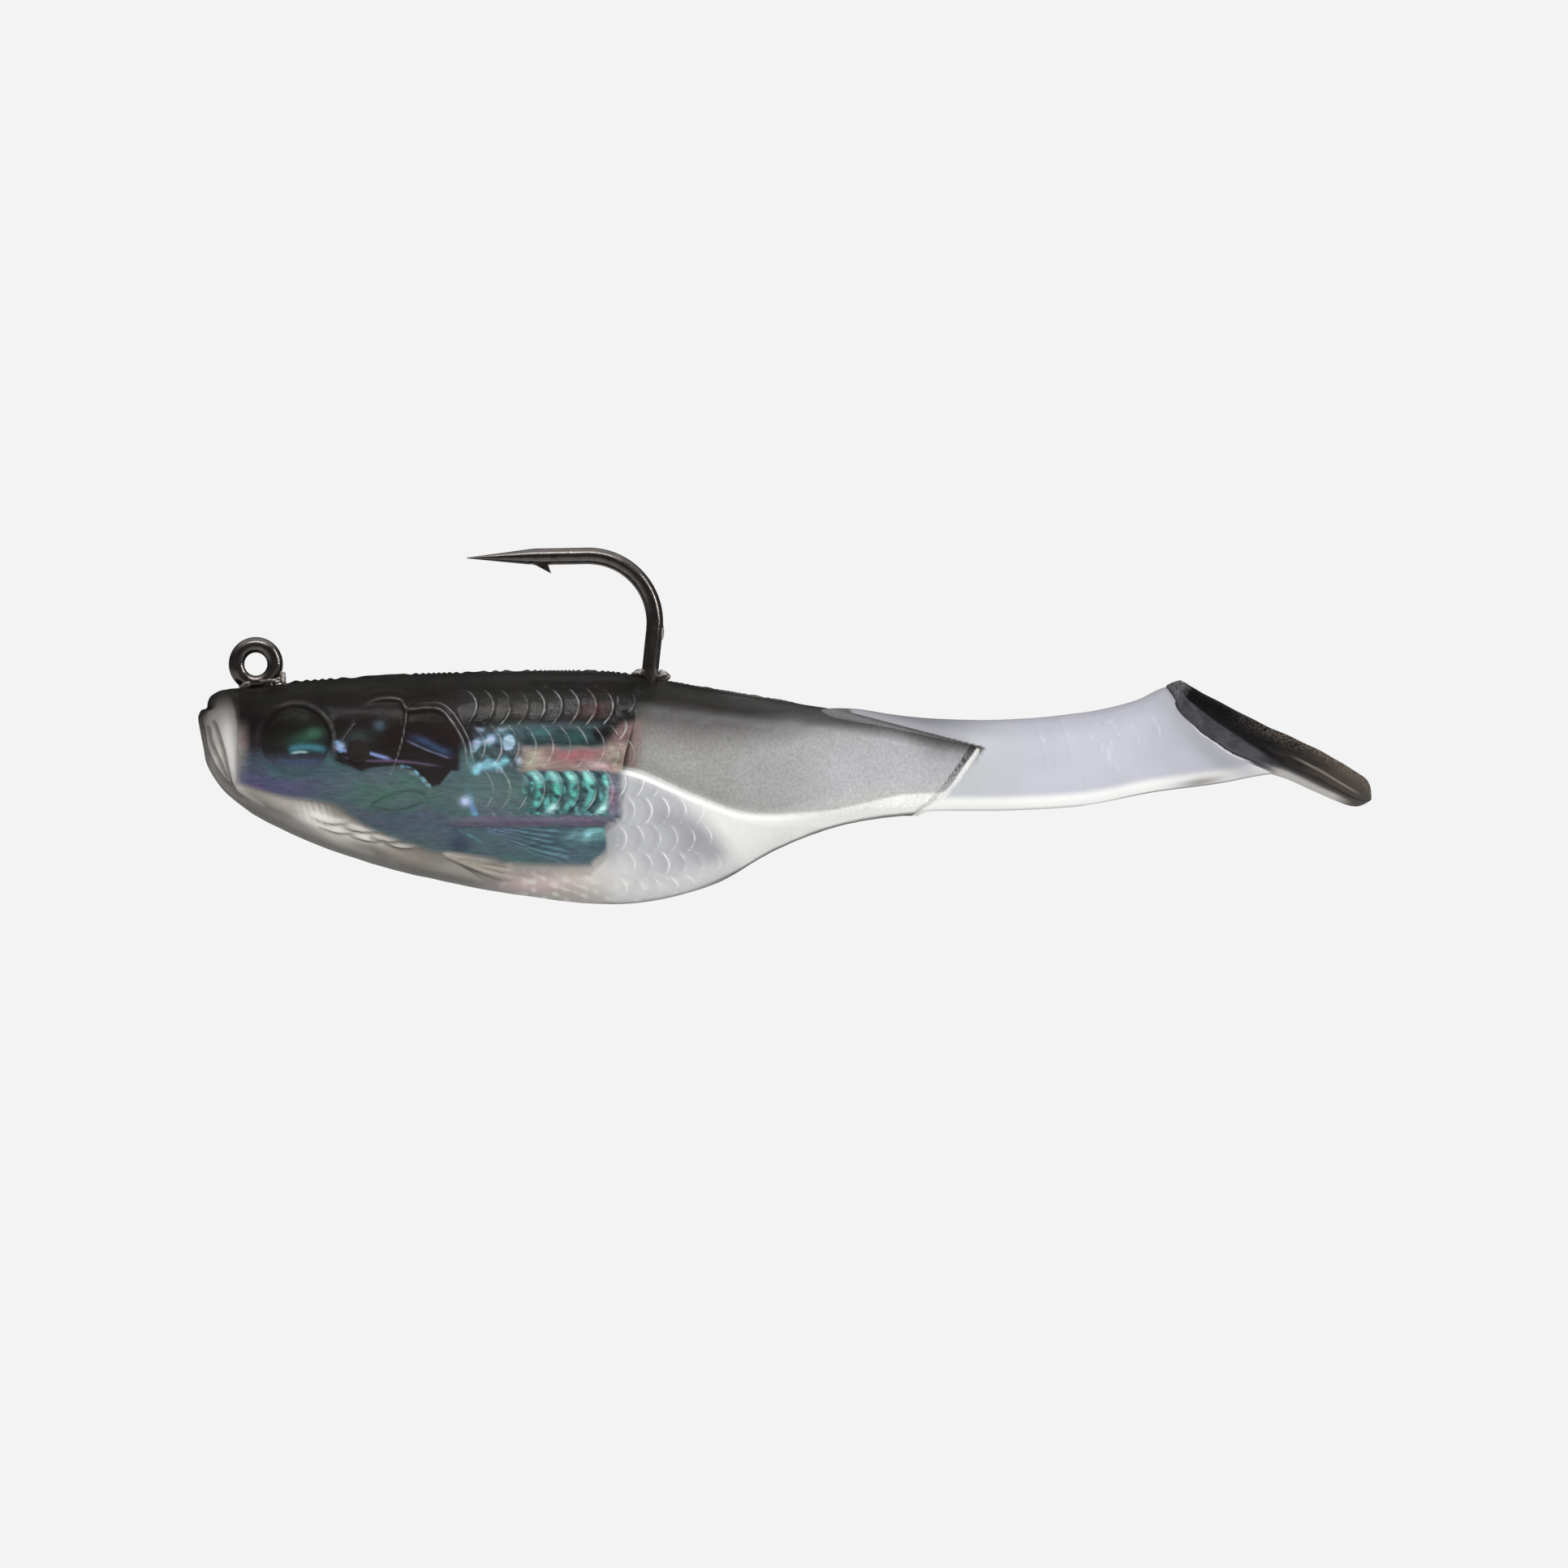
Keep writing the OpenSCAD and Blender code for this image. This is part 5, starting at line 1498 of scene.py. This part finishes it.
PALE = 0.896         # the photo's background, as a linear level
FLOOR_DROP = 0.012   # metres from the lure to the floor
CENTRE = (0.04564, -0.01036)   # (x, z) at the middle of the frame, in metres
FRAME_WIDTH = 0.13524          # metres across the frame, on the flank that faces the camera
FLANK_Y = 0.003                # how far that flank stands in front of the lure's middle, in metres
CAMERA_AWAY = 1.6
SENSOR = 36


def build_floor():
    """A pale sheet that only the camera sees."""
    half = 40
    z = cad_box[0].z - FLOOR_DROP
    mesh = bpy.data.meshes.new("floor")
    corner = [(-half, -half, z), (half, -half, z), (half, half, z), (-half, half, z)]
    mesh.from_pydata(corner, [], [(0, 1, 2, 3)])
    floor = bpy.data.objects.new("floor", mesh)
    bpy.context.scene.collection.objects.link(floor)
    s = Shade("pale_floor")
    glow = s.node("Emission")
    glow.inputs["Color"].default_value = (PALE, PALE, PALE, 1)
    mesh.materials.append(s.done(glow.outputs[0]))
    floor.visible_transmission = False
    floor.visible_glossy = False
    floor.visible_diffuse = False
    floor.visible_shadow = False


def build_world():
    """A studio with its own look for plain surfaces, reflections, clear plastic and the camera."""
    world = bpy.data.worlds.new("studio")
    bpy.context.scene.world = world
    world.use_nodes = True
    tree = world.node_tree
    tree.nodes.clear()

    def node(kind):
        return tree.nodes.new("ShaderNode" + kind)

    def ramp(stops):
        """A level that changes with the direction's height, from straight down (0) to straight up (1)."""
        n = node("ValToRGB")
        n.color_ramp.interpolation = "EASE"
        while len(n.color_ramp.elements) < len(stops):
            n.color_ramp.elements.new(0.5)
        for element, (at, level) in zip(n.color_ramp.elements, stops):
            element.position = at
            element.color = (level, level, level, 1)
        tree.links.new(height.outputs[0], n.inputs[0])
        return n.outputs[0]

    def choose(ray, otherwise, seen):
        n = node("Mix")
        n.data_type = "RGBA"
        tree.links.new(path.outputs[ray], n.inputs[0])
        tree.links.new(otherwise, n.inputs[6])
        if isinstance(seen, bpy.types.NodeSocket):
            tree.links.new(seen, n.inputs[7])
        else:
            n.inputs[7].default_value = seen
        return n.outputs[2]

    split = node("SeparateXYZ")
    tree.links.new(node("TexCoord").outputs["Generated"], split.inputs[0])
    height = node("MapRange")
    tree.links.new(split.outputs[2], height.inputs[0])
    height.inputs[1].default_value = -1
    height.inputs[2].default_value = 1
    path = node("LightPath")
    plain = ramp([(0.0, 0.84), (0.35, 0.86), (0.6, 0.9), (1.0, 0.98)])
    glossy = ramp([(0.0, 0.6), (0.3, 0.35), (0.46, 0.07), (0.66, 0.05), (0.8, 0.16), (0.92, 0.65),
                   (1.0, 0.8)])
    through = ramp([(0.0, 0.12), (0.1, 0.45), (0.3, 0.88), (0.5, 0.9), (0.7, 0.8), (0.86, 0.3), (1.0, 0.15)])
    colour = choose("Is Glossy Ray", plain, glossy)
    colour = choose("Is Transmission Ray", colour, through)
    colour = choose("Is Camera Ray", colour, (PALE, PALE, PALE, 1))
    background = node("Background")
    tree.links.new(colour, background.inputs["Color"])
    tree.links.new(background.outputs[0], node("OutputWorld").inputs["Surface"])


def softbox(name, at, towards, size, watts, glow=1.0):
    """A rectangular lamp. glow is its share in plain surfaces: with 0 it shows in reflections only."""
    data = bpy.data.lights.new(name, "AREA")
    data.shape = "RECTANGLE"
    data.size, data.size_y = size
    data.energy = watts
    data.diffuse_factor = glow
    lamp = bpy.data.objects.new(name, data)
    lamp.location = at
    lamp.rotation_euler = (Vector(towards) - Vector(at)).to_track_quat("-Z", "Y").to_euler()
    bpy.context.scene.collection.objects.link(lamp)


def build_camera():
    """A long lens, square on to the flank."""
    data = bpy.data.cameras.new("camera")
    data.type = "PERSP"
    data.sensor_width = SENSOR
    data.lens = SENSOR * (CAMERA_AWAY - FLANK_Y) / FRAME_WIDTH
    data.clip_end = 100
    camera = bpy.data.objects.new("camera", data)
    camera.location = (CENTRE[0], -CAMERA_AWAY, CENTRE[1])
    camera.rotation_euler = (math.pi / 2, 0, 0)
    bpy.context.scene.collection.objects.link(camera)
    bpy.context.scene.camera = camera
    bpy.context.scene.view_settings.view_transform = "Standard"


build_floor()
build_world()
softbox("key", (0.02, -0.4, 0.55), (0.045, 0, -0.01), (0.45, 0.12), 0.9)
softbox("edge_strip", (0.42, -0.2, 0.16), (0.033, 0, 0.004), (0.03, 0.3), 0.5, glow=0.0)
build_camera()
